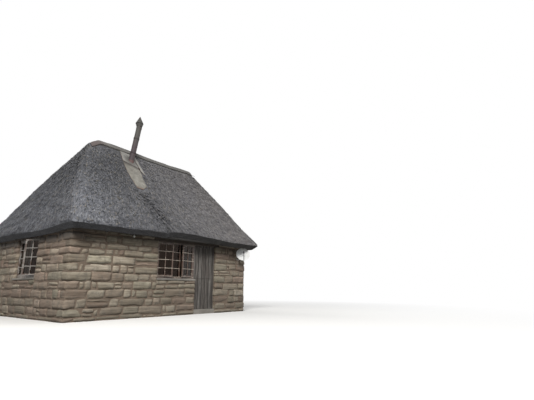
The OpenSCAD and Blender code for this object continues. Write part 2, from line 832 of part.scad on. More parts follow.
module flue_collar() {
    collar_h = 90;
    flare = 8;
    lift = 2 * sheet_t + 2 * seat;
    color("sienna") difference() {
        flue_axis() translate([0, 0, -flue_d]) difference() {
            cylinder(r1 = flue_d / 2 + 2 * flare, r2 = flue_d / 2 + 4, h = flue_d + collar_h);
            translate([0, 0, -past]) cylinder(r = flue_d / 2 + seat, h = flue_d + collar_h + 2 * past);
        }
        on_front_slope(lift) translate([-big / 2, -big / 2, -big]) cube([big, big, big]);
    }
}

// Point of a flashing sheet: x across from the flue, y down the roof from the flue, in plan
function sheet_point(x, y) = [flue_x + x, up_at(flue_y + y)];

// The upper sheet lies on the head of the lower one, reaches up to the ridge capping and is cut
// aslant below the flue, and a folded strip hangs from its right side
module flashing_upper() {
    half_w = flash_w / 2;
    strip_in = half_w - strip_w;
    color("lightgray") difference() {
        on_front_slope(sheet_t + 2 * seat) linear_extrude(sheet_t) union() {
            polygon([sheet_point(-half_w, flash_down * 2 / 5), sheet_point(half_w * 3 / 5, flash_down),
                sheet_point(half_w, flash_down), sheet_point(half_w, -flash_up),
                sheet_point(-half_w * 4 / 5, -flash_up)]);
            polygon([sheet_point(strip_in, flash_down / 2), sheet_point(strip_in, strip_down - strip_w),
                sheet_point(strip_in + strip_w / 2, strip_down), sheet_point(half_w, strip_down),
                sheet_point(half_w, flash_down / 2)]);
        }
        flue_room(flue_d / 2 + seat, flue_h / 2, flue_h / 4);
        on_front_slope(0) translate([-big / 2, up_at(cap_w * cos(pitch)) - cap_gap, 0])
            cube([big, cap_w, cap_t]);
    }
}

// The lower sheet narrows down the slope on its right side and ends in two rounded corners
module flashing_lower() {
    low_right = low_foot - low_left;
    color("silver") difference() {
        on_front_slope(seat) linear_extrude(sheet_t) union() {
            polygon([sheet_point(-low_left, 0), sheet_point(-low_left, low_down) + [0, low_r],
                sheet_point(low_r - low_left, low_down), sheet_point(low_right - low_r, low_down),
                sheet_point(low_right, low_down) + [0, low_r],
                sheet_point(low_w - low_left, flash_down), sheet_point(low_w - low_left, 0)]);
            for (x = [low_r - low_left, low_right - low_r])
                translate(sheet_point(x, low_down) + [0, low_r]) circle(r = low_r);
        }
        flue_room(flue_d / 2 + 5, flue_h / 2, flue_h / 4);
    }
}

// Places its children at the back of the dish, z along the direction it faces
module at_dish() {
    translate([half_wl - dish_in, -half_wd - dish_out, dish_z])
        rotate([0, 0, -dish_turn]) rotate([90 - dish_tilt, 0, 0]) children();
}

module dish_reflector() {
    skin = 4;
    steps = 12;
    r = dish_d / 2;
    color("white") at_dish() rotate_extrude($fn = 64) polygon(concat(
        [for (i = [0 : steps]) let (x = r * i / steps) [x, dish_deep * pow(x / r, 2)]],
        [[r + 6, dish_deep], [r + 6, dish_deep - skin]],
        [for (i = [steps - 1 : -1 : 0]) let (x = r * i / steps)
            [x, dish_deep * pow(x / r, 2) - skin]]));
}

// The arm springs from below the rim and holds the feed in front of the middle
arm_w = 18;
feed_out = 200;

module arm_block(y, z, h) {
    translate([-arm_w / 2, y - arm_w / 2, z]) cube([arm_w, arm_w, h]);
}

module dish_feed_arm() {
    r = dish_d / 2;
    arm_y = -r - arm_w / 2 - 6 - seat;
    feed_y = r * 0.06;
    color("dimgray") at_dish() {
        hull() {
            arm_block(arm_y, dish_deep + 6, 10);
            arm_block(feed_y - 22, feed_out - 15, 30);
        }
        arm_block(arm_y, dish_deep - 45, 61);
        // The foot of the arm runs back under the dish to the clamp
        hull() {
            arm_block(arm_y, dish_deep - 45, 30);
            arm_block(-60, -56, 20);
        }
        translate([0, feed_y, feed_out - 60]) {
            cylinder(d = 52, h = 40);
            translate([0, 0, 30]) cylinder(d = 34, h = 60);
        }
    }
}

// Wall plate, bracket tube and upright, with the clamp behind the dish
module dish_mount() {
    tube = 38;
    upright = 46;
    plate = 160;
    back = 60;
    x = half_wl - dish_in;
    upright_y = -half_wd - dish_out + back + upright / 2;
    tube_z = dish_z - plate / 2;
    color("gray") {
        translate([x - plate / 2, -half_wd - 6 - seat, tube_z - plate / 2]) cube([plate, 6, plate]);
        translate([x, -half_wd - seat - 3, tube_z]) rotate([90, 0, 0])
            cylinder(d = tube, h = -half_wd - seat - 3 - upright_y);
        translate([x, upright_y, tube_z - upright]) cylinder(d = upright, h = plate / 2 + upright);
        at_dish() translate([0, 0, -back]) cylinder(d = 90, h = back - 4 - seat);
        hull() {
            translate([x, upright_y, dish_z - 30]) cylinder(d = tube, h = 50, $fn = 20);
            at_dish() translate([0, 0, 5 - back]) cylinder(d = 60, h = 12, $fn = 20);
        }
    }
}

// A lamp fitting on the wall, close under the eave, with the bulb hanging from it
module lamp_fitting() {
    color("lightgray") translate([lamp_x, -half_wd, wall_h - lamp_drop]) {
        translate([-35, -8 - seat, -35]) cube([70, 8, 60]);
        translate([-20, -70, -14]) cube([40, 66, 28]);
        translate([0, -50, -50]) cylinder(d = 36, h = 40);
    }
}

module lamp_bulb() {
    neck = 24;
    color("white") translate([lamp_x, -half_wd - 50, wall_h - lamp_drop - 50 - seat]) {
        translate([0, 0, -neck]) cylinder(r1 = bulb_d / 2 * 0.8, r2 = 13, h = neck);
        translate([0, 0, -neck - bulb_d * 0.28]) sphere(d = bulb_d);
    }
}

floor_slab();
front_wall_left();
front_wall_sill();
front_wall_right();
left_wall();
right_wall();
back_wall();
lintels();
window_sills();
front_window_frame();
front_window_sashes();
front_window_glass();
left_window_frame();
left_window_sashes();
left_window_glass();
right_window_frame();
right_window_sashes();
right_window_glass();
door_frame();
door_threshold();
door_top_leaf();
door_bottom_leaf();
door_top_straps();
door_bottom_straps();
door_hinge_pins();
wall_plate();
ridge_pole();
rafters_front();
rafters_back();
rafters_ends();
hip_rafters();
laths_front();
laths_back();
laths_ends();
tie_beams();
thatch_front();
thatch_back();
thatch_left_hip();
thatch_right_hip();
ridge_cap();
flue_pipe();
flue_cowl();
flue_collar();
flashing_upper();
flashing_lower();
dish_reflector();
dish_feed_arm();
dish_mount();
lamp_fitting();
lamp_bulb();
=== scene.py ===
import math
import bpy
import numpy as np
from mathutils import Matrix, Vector, noise


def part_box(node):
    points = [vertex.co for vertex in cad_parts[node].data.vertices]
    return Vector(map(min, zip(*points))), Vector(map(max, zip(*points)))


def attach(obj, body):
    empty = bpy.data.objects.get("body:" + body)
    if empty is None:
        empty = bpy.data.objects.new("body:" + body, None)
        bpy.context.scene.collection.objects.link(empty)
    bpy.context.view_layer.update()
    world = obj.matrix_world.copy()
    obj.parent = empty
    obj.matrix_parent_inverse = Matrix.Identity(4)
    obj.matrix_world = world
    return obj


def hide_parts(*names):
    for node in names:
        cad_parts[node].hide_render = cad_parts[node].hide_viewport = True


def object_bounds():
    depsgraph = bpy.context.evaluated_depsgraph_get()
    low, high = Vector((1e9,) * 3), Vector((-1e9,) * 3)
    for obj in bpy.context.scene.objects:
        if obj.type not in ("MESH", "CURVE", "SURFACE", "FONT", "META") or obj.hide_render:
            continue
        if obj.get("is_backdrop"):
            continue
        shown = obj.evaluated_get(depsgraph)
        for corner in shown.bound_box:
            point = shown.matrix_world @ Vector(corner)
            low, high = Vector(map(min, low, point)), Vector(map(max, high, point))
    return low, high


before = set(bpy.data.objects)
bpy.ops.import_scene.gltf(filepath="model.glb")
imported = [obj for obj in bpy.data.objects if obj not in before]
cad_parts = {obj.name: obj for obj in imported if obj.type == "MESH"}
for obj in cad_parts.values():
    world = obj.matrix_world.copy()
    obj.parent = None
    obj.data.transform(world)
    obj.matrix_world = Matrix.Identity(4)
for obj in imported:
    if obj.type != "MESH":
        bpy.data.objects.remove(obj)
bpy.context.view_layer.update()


# FLOOR, THRESHOLD AND SILLS
# The floor is a slab of lean concrete between the walls, floated smooth and worn pale where people walk.
# The threshold under the door and the sill slabs under the windows are cast in the same mix, with a
# coarser face that has gone grey and spotted out of doors.
def start_finish(name, roughness, metallic=0.0):
    """A new finish with its nodes and its shader, before it gets its colours."""
    finish = bpy.data.materials.new(name)
    finish.use_nodes = True
    shader = finish.node_tree.nodes["Principled BSDF"]
    shader.inputs["Roughness"].default_value = roughness
    shader.inputs["Metallic"].default_value = metallic
    return finish, finish.node_tree, shader


def add_node(tree, kind, settings=None, **sockets):
    """A shader node; a socket is given by its name, or as i0, i1 and so on by its place."""
    node = tree.nodes.new("ShaderNode" + kind)
    for key, value in (settings or {}).items():
        setattr(node, key, value)
    for key, value in sockets.items():
        by_place = key[1:].isdigit()
        socket = node.inputs[int(key[1:])] if by_place else node.inputs[key.replace("_", " ")]
        if isinstance(value, bpy.types.NodeSocket):
            tree.links.new(value, socket)
        else:
            socket.default_value = value
    return node


def place_of(tree, stretch=(1.0, 1.0, 1.0)):
    """Where a point lies on the hut, in metres, stretched along each axis."""
    coords = add_node(tree, "TexCoord").outputs["Object"]
    return add_node(tree, "Mapping", Vector=coords, Scale=stretch).outputs["Vector"]


def mottle(tree, place, scale, detail=4.0, roughness=0.55):
    """Uneven spots, about as many to the metre as the scale says."""
    node = add_node(tree, "TexNoise", Vector=place, Scale=scale, Detail=detail, Roughness=roughness)
    return node.outputs["Fac"]


def shades(tree, value, *stops):
    """A colour for each level of a grey value; each stop is (level, colour)."""
    ramp = add_node(tree, "ValToRGB", Fac=value)
    marks = ramp.color_ramp.elements
    while len(marks) < len(stops):
        marks.new(0.5)
    for mark, (grey, colour) in zip(marks, stops):
        mark.position = grey
        mark.color = (*colour, 1.0)
    return ramp.outputs["Color"]


def mix_paint(tree, share, first, second, how="MIX"):
    """The first colour with a share of the second in it; each is a colour or comes from a node."""
    node = add_node(tree, "Mix", {"data_type": "RGBA", "blend_type": how}, i0=share)
    for index, colour in ((6, first), (7, second)):
        if isinstance(colour, bpy.types.NodeSocket):
            tree.links.new(colour, node.inputs[index])
        else:
            node.inputs[index].default_value = (*colour, 1.0)
    return node.outputs[2]


def level(tree, value, low, high, to_low=0.0, to_high=1.0):
    """A value brought to 0 at low and 1 at high, or to two other levels."""
    node = add_node(tree, "MapRange", {"clamp": True}, Value=value)
    for name, amount in (("From Min", low), ("From Max", high), ("To Min", to_low), ("To Max", to_high)):
        node.inputs[name].default_value = amount
    return node.outputs["Result"]


def stain(tree, colour, value, low, high, spots, how="MIX"):
    """A colour that turns to another where a value runs from low to high."""
    return mix_paint(tree, level(tree, value, low, high), colour, spots, how)


def paint(tree, shader, colour):
    tree.links.new(colour, shader.inputs["Base Color"])


def relief(tree, shader, height, depth, under=None):
    """Bump of a depth in metres, on top of another bump where one is given."""
    node = add_node(tree, "Bump", Height=height, Strength=1.0, Distance=depth)
    if under is not None:
        tree.links.new(under, node.inputs["Normal"])
    tree.links.new(node.outputs["Normal"], shader.inputs["Normal"])
    return node.outputs["Normal"]


def finish_nodes(finish, *names):
    """Gives CAD pieces, whose shape is right as it is, their finish."""
    for name in names:
        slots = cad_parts[name].data.materials
        slots.clear()
        slots.append(finish)


def cast_concrete():
    finish, tree, shader = start_finish("cast_concrete", 0.9)
    broad = mottle(tree, place_of(tree), 2.2, 5.0)
    grit = mottle(tree, place_of(tree), 70.0, 6.0, 0.7)
    colour = shades(
        tree, broad, (0.3, (0.15, 0.14, 0.125)), (0.5, (0.22, 0.205, 0.18)), (0.72, (0.29, 0.27, 0.24))
    )
    colour = stain(tree, colour, grit, 0.60, 0.75, (0.10, 0.092, 0.08))
    paint(tree, shader, colour)
    relief(tree, shader, grit, 0.003)
    return finish


finish_nodes(cast_concrete(), "floor_slab", "door_threshold", "window_sills")


# STONE WALLS
# Roughly squared sandstone in courses of 0.10 to 0.22 m, with pitched faces and bonded corners, bedded in
# brown mortar. The CAD walls are that mortar and the plaster inside, and each stone stands proud of them.
# The bedding of the stone shows, painted shade of the eaves darkens the wall heads, and splashes darken the
# foot.
def edge_of(node, end, axis):
    """Where a CAD piece begins (end 0) or ends (end 1) along an axis, to the millimetre."""
    return round(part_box(node)[end][axis], 3)


WALL_X, WALL_Y = edge_of("right_wall", 1, 0), edge_of("back_wall", 1, 1)
SILL_SLAB_Z, LINTEL_Z = edge_of("front_wall_sill", 1, 2), edge_of("lintels", 0, 2)
FRONT_WINDOW = edge_of("front_window_frame", 0, 0), edge_of("front_window_frame", 1, 0)
END_WINDOW = edge_of("right_window_frame", 0, 1), edge_of("right_window_frame", 1, 1)
DOOR_RIGHT, LINTEL_REST = edge_of("door_frame", 1, 0), 0.15
COURSE_TOPS = [0.10, 0.30, 0.51, 0.73, 0.93, 1.15, 1.35, 1.56, 1.72, 1.88, LINTEL_Z, 2.285]
SILL_BAND = [COURSE_TOPS[3], 0.86, SILL_SLAB_Z]
SAME = 0.001
PLASTER_EDGE, PLASTER_FADE = 0.09, 0.005


def along(tree, axis):
    """Distance in metres from the middle of the hut along X, Y or Z."""
    coords = add_node(tree, "TexCoord").outputs["Object"]
    return add_node(tree, "SeparateXYZ", Vector=coords).outputs[axis]


def reckon(tree, how, first, second=0.0):
    """A sum of one or two values, such as ADD, MULTIPLY or MAXIMUM."""
    return add_node(tree, "Math", {"operation": how}, i0=first, i1=second).outputs[0]


def from_middle(tree, axis, start, stop):
    """A level from 0 at one distance from the middle of the hut to 1 at another, on both sides of it."""
    return level(tree, reckon(tree, "ABSOLUTE", along(tree, axis)), start, stop)


def mortar_and_plaster():
    finish, tree, shader = start_finish("mortar_and_plaster", 0.95)
    grit = mottle(tree, place_of(tree), 55.0, 6.0, 0.7)
    damp = mottle(tree, place_of(tree), 1.7, 4.0)
    mortar = shades(
        tree, grit, (0.25, (0.105, 0.079, 0.058)), (0.55, (0.185, 0.141, 0.105)), (0.8, (0.26, 0.208, 0.160))
    )
    mortar = mix_paint(tree, level(tree, damp, 0.45, 0.7), mortar, (0.125, 0.097, 0.073))
    plaster = shades(
        tree, damp, (0.3, (0.16, 0.13, 0.10)), (0.6, (0.22, 0.185, 0.145)), (0.8, (0.27, 0.235, 0.19))
    )
    x_edge, y_edge = WALL_X - PLASTER_EDGE, WALL_Y - PLASTER_EDGE
    x_inside = from_middle(tree, "X", x_edge, x_edge - PLASTER_FADE)
    y_inside = from_middle(tree, "Y", y_edge, y_edge - PLASTER_FADE)
    inside = reckon(tree, "MULTIPLY", x_inside, y_inside)
    paint(tree, shader, mix_paint(tree, inside, mortar, plaster))
    relief(tree, shader, grit, 0.006)
    return finish


finish_nodes(
    mortar_and_plaster(),
    "front_wall_left", "front_wall_sill", "front_wall_right", "left_wall", "right_wall", "back_wall",
)


def make_piece(name, points, faces, finish, stands_for=(), body="hut", tones=None, lay=None):
    """A smooth mesh in the hut's frame; tones and lay are kept per point for its finish."""
    mesh = bpy.data.meshes.new(name)
    mesh.from_pydata(np.asarray(points, float).tolist(), [], [tuple(map(int, f)) for f in faces])
    mesh.polygons.foreach_set("use_smooth", [True] * len(mesh.polygons))
    mesh.materials.append(finish)
    if tones is not None:
        layer = mesh.attributes.new("tone", "FLOAT_COLOR", "POINT")
        layer.data.foreach_set("color", np.asarray(tones, np.float32).ravel())
    if lay is not None:
        layer = mesh.attributes.new("lay", "FLOAT_VECTOR", "POINT")
        layer.data.foreach_set("vector", np.asarray(lay, np.float32).ravel())
    mesh.update()
    piece = bpy.data.objects.new(name, mesh)
    bpy.context.scene.collection.objects.link(piece)
    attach(piece, body)
    for node in stands_for:
        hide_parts(node)
    return piece


def gather(shapes):
    """One list of points, faces and tones from many small shapes."""
    points, faces, tones, base = [], [], [], 0
    for shape_points, shape_faces, tone in shapes:
        points.append(shape_points)
        faces.extend([tuple(i + base for i in f) for f in shape_faces])
        tones.append(np.tile(tone, (len(shape_points), 1)))
        base += len(shape_points)
    return np.concatenate(points), faces, np.concatenate(tones)


def seed_shift(seed):
    """A far move in the noise, so that each seed gives another pattern."""
    return Vector((seed * 17.13, seed * 7.31, seed * 3.77))


# Without a seed the vector noise takes one from the clock, and each run would give other stones
noise.seed_set(1)


def hack(points, scale, depth, seed):
    """Uneven moves of each point, as hammer and chisel leave them."""
    shift = seed_shift(seed)
    return points + depth * np.array([noise.noise_vector(Vector(p) * scale + shift) for p in points])


def block_grid(cuts, hidden):
    """Points from 0 to 1 and faces of a block, without the sides that are buried in the wall."""
    index, points, faces = {}, [], []

    def corner(at):
        if at not in index:
            index[at] = len(points)
            points.append([a / c for a, c in zip(at, cuts)])
        return index[at]

    for axis in range(3):
        a, b = [x for x in range(3) if x != axis]
        for side in (-1, 1):
            if (axis, side) in hidden:
                continue
            for i in range(cuts[a]):
                for j in range(cuts[b]):
                    quad = []
                    for di, dj in ((0, 0), (1, 0), (1, 1), (0, 1)):
                        at = [0, 0, 0]
                        at[axis] = 0 if side < 0 else cuts[axis]
                        at[a], at[b] = i + di, j + dj
                        quad.append(corner(tuple(at)))
                    flip = (side > 0) == (axis == 1)
                    faces.append(tuple(quad[::-1] if flip else quad))
    return np.array(points), faces


def corner_warp(unit, off):
    """Shares the moves of a block's eight corners out over its points."""
    moved = np.zeros_like(unit)
    for cx, cy, cz in np.ndindex(2, 2, 2):
        share = (unit[:, 0] if cx else 1 - unit[:, 0]) * (unit[:, 1] if cy else 1 - unit[:, 1])
        moved += (share * (unit[:, 2] if cz else 1 - unit[:, 2]))[:, None] * off[cx, cy, cz]
    return moved


CUT_STEP, LEAST_CUTS, MOST_CUTS = 0.048, 2, 12
SKEW_SHARE, MOST_SKEW = 0.09, 0.020
# Hammer marks and chisel marks, each as (marks to the metre, depth)
HAMMER_MARKS, CHISEL_MARKS = (7.0, 0.015), (24.0, 0.006)


def rough_block(low, high, hidden, rng, rounding, bulge):
    """A squared stone between two corners; hidden names the sides that are buried in the wall."""
    low, high = np.array(low, float), np.array(high, float)
    size = high - low
    cuts = [int(np.clip(round(s / CUT_STEP), LEAST_CUTS, MOST_CUTS)) for s in size]
    for axis, side in hidden:
        cuts[axis] = LEAST_CUTS
    unit, faces = block_grid(cuts, hidden)
    off = rng.uniform(-1, 1, (2, 2, 2, 3)) * np.minimum(size * SKEW_SHARE, MOST_SKEW)
    points = low + unit * size
    inner_low, inner_high = low + rounding, high - rounding
    for axis, side in hidden:
        (inner_low if side < 0 else inner_high)[axis] = (low if side < 0 else high)[axis]
    core = np.clip(points, inner_low, inner_high)
    away = points - core
    length = np.linalg.norm(away, axis=1)
    skin = length > 1e-9
    points[skin] = core[skin] + away[skin] / length[skin, None] * rounding
    # Each face that shows is domed, then the corners are pulled askew and the whole is hacked
    shape = (points - (low + high) / 2) / (size / 2)
    for axis in range(3):
        a, b = [x for x in range(3) if x != axis]
        dome = np.clip(1 - shape[:, a] ** 4, 0, 1) * np.clip(1 - shape[:, b] ** 4, 0, 1)
        for side in (-1, 1):
            if (axis, side) not in hidden:
                face = skin & (shape[:, axis] * side > 0.90)
                points[face, axis] += side * dome[face] * bulge
    points = points + corner_warp(unit, off)
    seed = int(rng.integers(1, 900))
    points = hack(hack(points, *HAMMER_MARKS, seed), *CHISEL_MARKS, seed + 7)
    points[:, 2] = np.maximum(points[:, 2], 0.0)
    return points, faces


def wall_spans(face):
    """Each course of a wall face as (low, high, start, end), left to right in the face's own axis."""
    low = 0.0
    ends = WALL_X if face in ("front", "back") else WALL_Y
    gap = {"front": (FRONT_WINDOW[0], DOOR_RIGHT), "back": None}.get(face, END_WINDOW)
    window = FRONT_WINDOW if face == "front" else END_WINDOW
    for high in COURSE_TOPS:
        below_sill = high <= SILL_BAND[0] + SAME
        if gap is None or (below_sill and face != "front"):
            yield low, high, -ends, ends
        elif below_sill:
            yield low, high, -ends, window[1]
            yield low, high, DOOR_RIGHT, ends
        else:
            rest = LINTEL_REST if low >= LINTEL_Z - SAME else 0.0
            yield low, high, -ends, gap[0] - rest
            yield low, high, gap[1] + rest, ends
        low = high
    if gap is not None:
        for low, high in zip(SILL_BAND, SILL_BAND[1:]):
            yield low, high, *window


LONG_CORNERS, SHORT_CORNERS = (0.50, 0.42, 0.56), (0.24, 0.29, 0.26)


def corner_length(course, long_turn):
    """Length of a corner stone along a wall, by turns long and short up the corner."""
    return (LONG_CORNERS if long_turn else SHORT_CORNERS)[course % 3]


def stone_tone(rng, warm):
    """Brightness, share of pinkish brown and share of yellow or olive for one stone."""
    return np.array([rng.normal(0.5, 0.19), np.clip(rng.normal(warm, 0.28), 0, 1), rng.random(), 1.0])


BED_WANDER, STRAIGHT_BEDS = 0.045, (0.0, SILL_SLAB_Z, LINTEL_Z, COURSE_TOPS[-1])


def bed_line(place, height, ends):
    """A bed joint wanders up and down between the corners, but not at the ground, openings or wall head."""
    if min(abs(height - straight) for straight in STRAIGHT_BEDS) < SAME:
        return height
    reach = min(1.0, max(0.0, (ends - abs(place)) / 0.8))
    return height + BED_WANDER * reach * noise.noise(Vector((place * 0.9, height * 9.0, ends)))


STONE_PROUD, STONE_BED = 0.014, 0.064
ROUNDED_EDGE, MOST_ROUNDED = (0.011, 0.019), 0.2
MORTAR_BELOW, MORTAR_ABOVE = (0.010, 0.022), (0.009, 0.021)


def lay_stone(face, start, end, low, high, rng, warm):
    """One stone between two places along a wall face, with mortar left all round it."""
    axis, out = (0, 1) if face in ("front", "back") else (1, 0)
    side = -1 if face in ("front", "left") else 1
    plane = side * (WALL_Y if out == 1 else WALL_X)
    corners = [[0, 0, 0], [0, 0, 0]]
    corners[0][axis], corners[1][axis] = start, end
    ends = WALL_Y if out == 0 else WALL_X
    low, high = (bed_line((start + end) / 2, height, ends) for height in (low, high))
    corners[0][2], corners[1][2] = low + rng.uniform(*MORTAR_BELOW), high - rng.uniform(*MORTAR_ABOVE)
    proud = STONE_PROUD * rng.uniform(0.4, 1.35)
    corners[0][out], corners[1][out] = sorted([plane - side * STONE_BED, plane + side * proud])
    rounding = min(rng.uniform(*ROUNDED_EDGE), (high - low) * MOST_ROUNDED)
    points, faces = rough_block(*corners, {(out, -side)}, rng, rounding, bulge=0.010)
    return points, faces, stone_tone(rng, warm)


LONG_STONE, SHORT_STONE, LONG_SHARE = (0.30, 0.78), (0.11, 0.30), 0.72
LEAST_STONE, MOST_STONE, UPRIGHT_JOINT = 0.14, 0.85, (0.011, 0.024)
SPLIT_COURSE, SPLIT_SHARE = 0.17, 0.14
REVEAL_LAP = 0.008


def lay_face(face, rng, warm):
    """The stones of one wall face; its courses begin and end on the corner stones or at an opening."""
    along_x = face in ("front", "back")
    ends = WALL_X if along_x else WALL_Y
    stones = []
    for low, high, start, end in wall_spans(face):
        course = int(np.searchsorted(COURSE_TOPS, high - SAME))
        corner = corner_length(course, (course + (0 if along_x else 1)) % 2)
        at = start + (corner if start == -ends else 0.0)
        last = end - (corner if end == ends else 0.0)
        while at < last - 0.02:
            length = rng.uniform(*(LONG_STONE if rng.random() < LONG_SHARE else SHORT_STONE))
            if last - at - length < LEAST_STONE:
                length = last - at if last - at < MOST_STONE else (last - at) * rng.uniform(0.42, 0.58)
            bands = [(low, high)]
            if high - low > SPLIT_COURSE and rng.random() < SPLIT_SHARE:
                cut = low + (high - low) * rng.uniform(0.4, 0.6)
                bands = [(low, cut), (cut, high)]
            joint = rng.uniform(*UPRIGHT_JOINT)
            for band_low, band_high in bands:
                first = start - REVEAL_LAP if at == start and start != -ends else at + joint
                stop = at + length - joint
                if abs(at + length - end) < 1e-6 and end != ends:
                    stop = end + REVEAL_LAP
                stones.append(lay_stone(face, first, stop, band_low, band_high, rng, warm))
            at += length
    return stones


CORNER_END, JOINT_BELOW, JOINT_ABOVE = 0.010, 0.013, 0.014


def lay_corner(x_side, y_side, rng, warm):
    """The corner stones from the ground up, which show on both walls."""
    stones, low = [], 0.0
    for course, high in enumerate(COURSE_TOPS):
        x_long, y_long = corner_length(course, course % 2), corner_length(course, (course + 1) % 2)
        proud = STONE_PROUD * rng.uniform(0.8, 1.25)
        x_at = sorted([x_side * (WALL_X + proud), x_side * (WALL_X - x_long + CORNER_END)])
        y_at = sorted([y_side * (WALL_Y + proud), y_side * (WALL_Y - y_long + CORNER_END)])
        corners = [x_at[0], y_at[0], low + JOINT_BELOW], [x_at[1], y_at[1], high - JOINT_ABOVE]
        points, faces = rough_block(*corners, set(), rng, rounding=0.015, bulge=0.009)
        stones.append((points, faces, stone_tone(rng, warm)))
        low = high
    return stones


def point_tones(tree):
    """The three shares that a piece keeps with each of its points."""
    marks = add_node(tree, "Attribute", {"attribute_name": "tone"}).outputs["Color"]
    return tuple(add_node(tree, "SeparateColor", Color=marks).outputs)


def sandstone():
    finish, tree, shader = start_finish("sandstone", 0.92)
    place = place_of(tree)
    bright, brown_share, olive_share = point_tones(tree)
    pale, brown, olive = (
        shades(tree, bright, (0.1, dark), (0.5, mid), (0.9, light))
        for dark, mid, light in (
            ((0.196, 0.171, 0.131), (0.295, 0.260, 0.207), (0.405, 0.366, 0.300)),
            ((0.158, 0.118, 0.092), (0.236, 0.180, 0.143), (0.322, 0.256, 0.209)),
            ((0.170, 0.155, 0.116), (0.252, 0.234, 0.184), (0.36, 0.335, 0.262)),
        )
    )
    colour = stain(tree, pale, brown_share, 0.35, 0.85, brown)
    colour = stain(tree, colour, olive_share, 0.72, 0.98, olive)
    # Thin and thick bedding layers in the stone, lichen and soot from the weather, and pits
    beds = mottle(tree, place_of(tree, (3.0, 3.0, 34.0)), 1.6, 6.0, 0.6)
    colour = stain(tree, colour, beds, 0.42, 0.66, (0.78, 0.75, 0.71), "MULTIPLY")
    layers = mottle(tree, place_of(tree, (1.5, 1.5, 21.0)), 1.0, 3.0, 0.5)
    layered = mix_paint(tree, level(tree, layers, 0.40, 0.60), (1.16, 1.15, 1.14), (0.80, 0.77, 0.74))
    colour = mix_paint(tree, 1.0, colour, layered, "MULTIPLY")
    blotch = mottle(tree, place, 7.0, 6.0, 0.65)
    colour = stain(tree, colour, blotch, 0.50, 0.74, (0.145, 0.130, 0.106))
    speck = mottle(tree, place, 48.0, 5.0, 0.7)
    colour = stain(tree, colour, speck, 0.60, 0.78, (0.095, 0.082, 0.066))
    # Painted shade of the eaves darkens the wall heads, most of all on the left end and round its corner with
    # the front
    sooty = level(tree, along(tree, "Z"), 1.90, 2.25, 0.0, 0.35)
    for foot, top, share, start, stop in ((1.72, 2.00, 0.86, -2.90, -3.04), (1.78, 2.04, 0.74, -2.25, -2.85)):
        head = level(tree, along(tree, "Z"), foot, top, 0.0, share)
        head = reckon(tree, "MULTIPLY", head, level(tree, along(tree, "X"), start, stop))
        sooty = reckon(tree, "MAXIMUM", sooty, head)
    colour = mix_paint(tree, sooty, colour, (0.060, 0.055, 0.049))
    # Splashes off the ground darken the foot, with an uneven upper edge
    splash = reckon(tree, "ADD", along(tree, "Z"), reckon(tree, "MULTIPLY", blotch, -0.9))
    colour = mix_paint(tree, level(tree, splash, 0.75, -0.25, 0.0, 0.36), colour, (0.118, 0.104, 0.082))
    paint(tree, shader, colour)
    under = relief(tree, shader, beds, 0.006)
    under = relief(tree, shader, layers, 0.012, under)
    under = relief(tree, shader, blotch, 0.012, under)
    relief(tree, shader, speck, 0.005, under)
    return finish


stone_finish = sandstone()
for face, seed, warm in (("front", 11, 0.34), ("left", 12, 0.78), ("right", 13, 0.5), ("back", 14, 0.42)):
    points, faces, tones = gather(lay_face(face, np.random.default_rng(seed), warm))
    make_piece(f"{face}_stones", points, faces, stone_finish, tones=tones)
corner_stones = []
for x_side, y_side, seed in ((-1, -1, 21), (1, -1, 22), (1, 1, 23), (-1, 1, 24)):
    corner_stones += lay_corner(x_side, y_side, np.random.default_rng(seed), 0.5 if x_side < 0 else 0.4)
points, faces, tones = gather(corner_stones)
make_piece("corner_stones", points, faces, stone_finish, tones=tones)


# LINTELS
# A dark sawn beam carries the wall head over each window, and one long beam runs over the front window
# and the door. The beams are old, dry and dark, and painted nearly black as the shade of the eaves.
def sawn_timber(name, dark, mid, pale, roughness, grain_axis):
    """Timber with its grain along one axis of the hut."""
    finish, tree, shader = start_finish(name, roughness)
    stretch = [34.0, 34.0, 34.0]
    stretch[grain_axis] = 2.2
    grain = mottle(tree, place_of(tree, tuple(stretch)), 1.0, 6.0, 0.6)
    broad = mottle(tree, place_of(tree, tuple(s / 6 for s in stretch)), 1.0, 3.0)
    colour = shades(tree, grain, (0.28, dark), (0.52, mid), (0.75, pale))
    colour = stain(tree, colour, broad, 0.35, 0.7, (0.62, 0.60, 0.58), "MULTIPLY")
    paint(tree, shader, colour)
    relief(tree, shader, grain, 0.0018)
    return finish


# Painted shade: the beam colours are nearly black for the shade of the eaves over them
OLD_BEAM_IN_PAINTED_SHADE = ((0.022, 0.017, 0.013), (0.05, 0.038, 0.028), (0.10, 0.078, 0.058))
finish_nodes(sawn_timber("lintel_timber", *OLD_BEAM_IN_PAINTED_SHADE, 0.85, 0), "lintels")


# WINDOWS
# The frames and casements are planed hardwood under worn brown varnish, which has flaked to pale bare wood
# on the glazing bars, most of all at the ends of the hut. Each casement hangs on two butt hinges and holds
# one sheet of glass behind its bars, tinted dark as painted shade behind it, with its reflections tinted
# brown as a painted reflection.
FIRST_BAR_Z, PANE_PITCH = 1.095, 0.2375


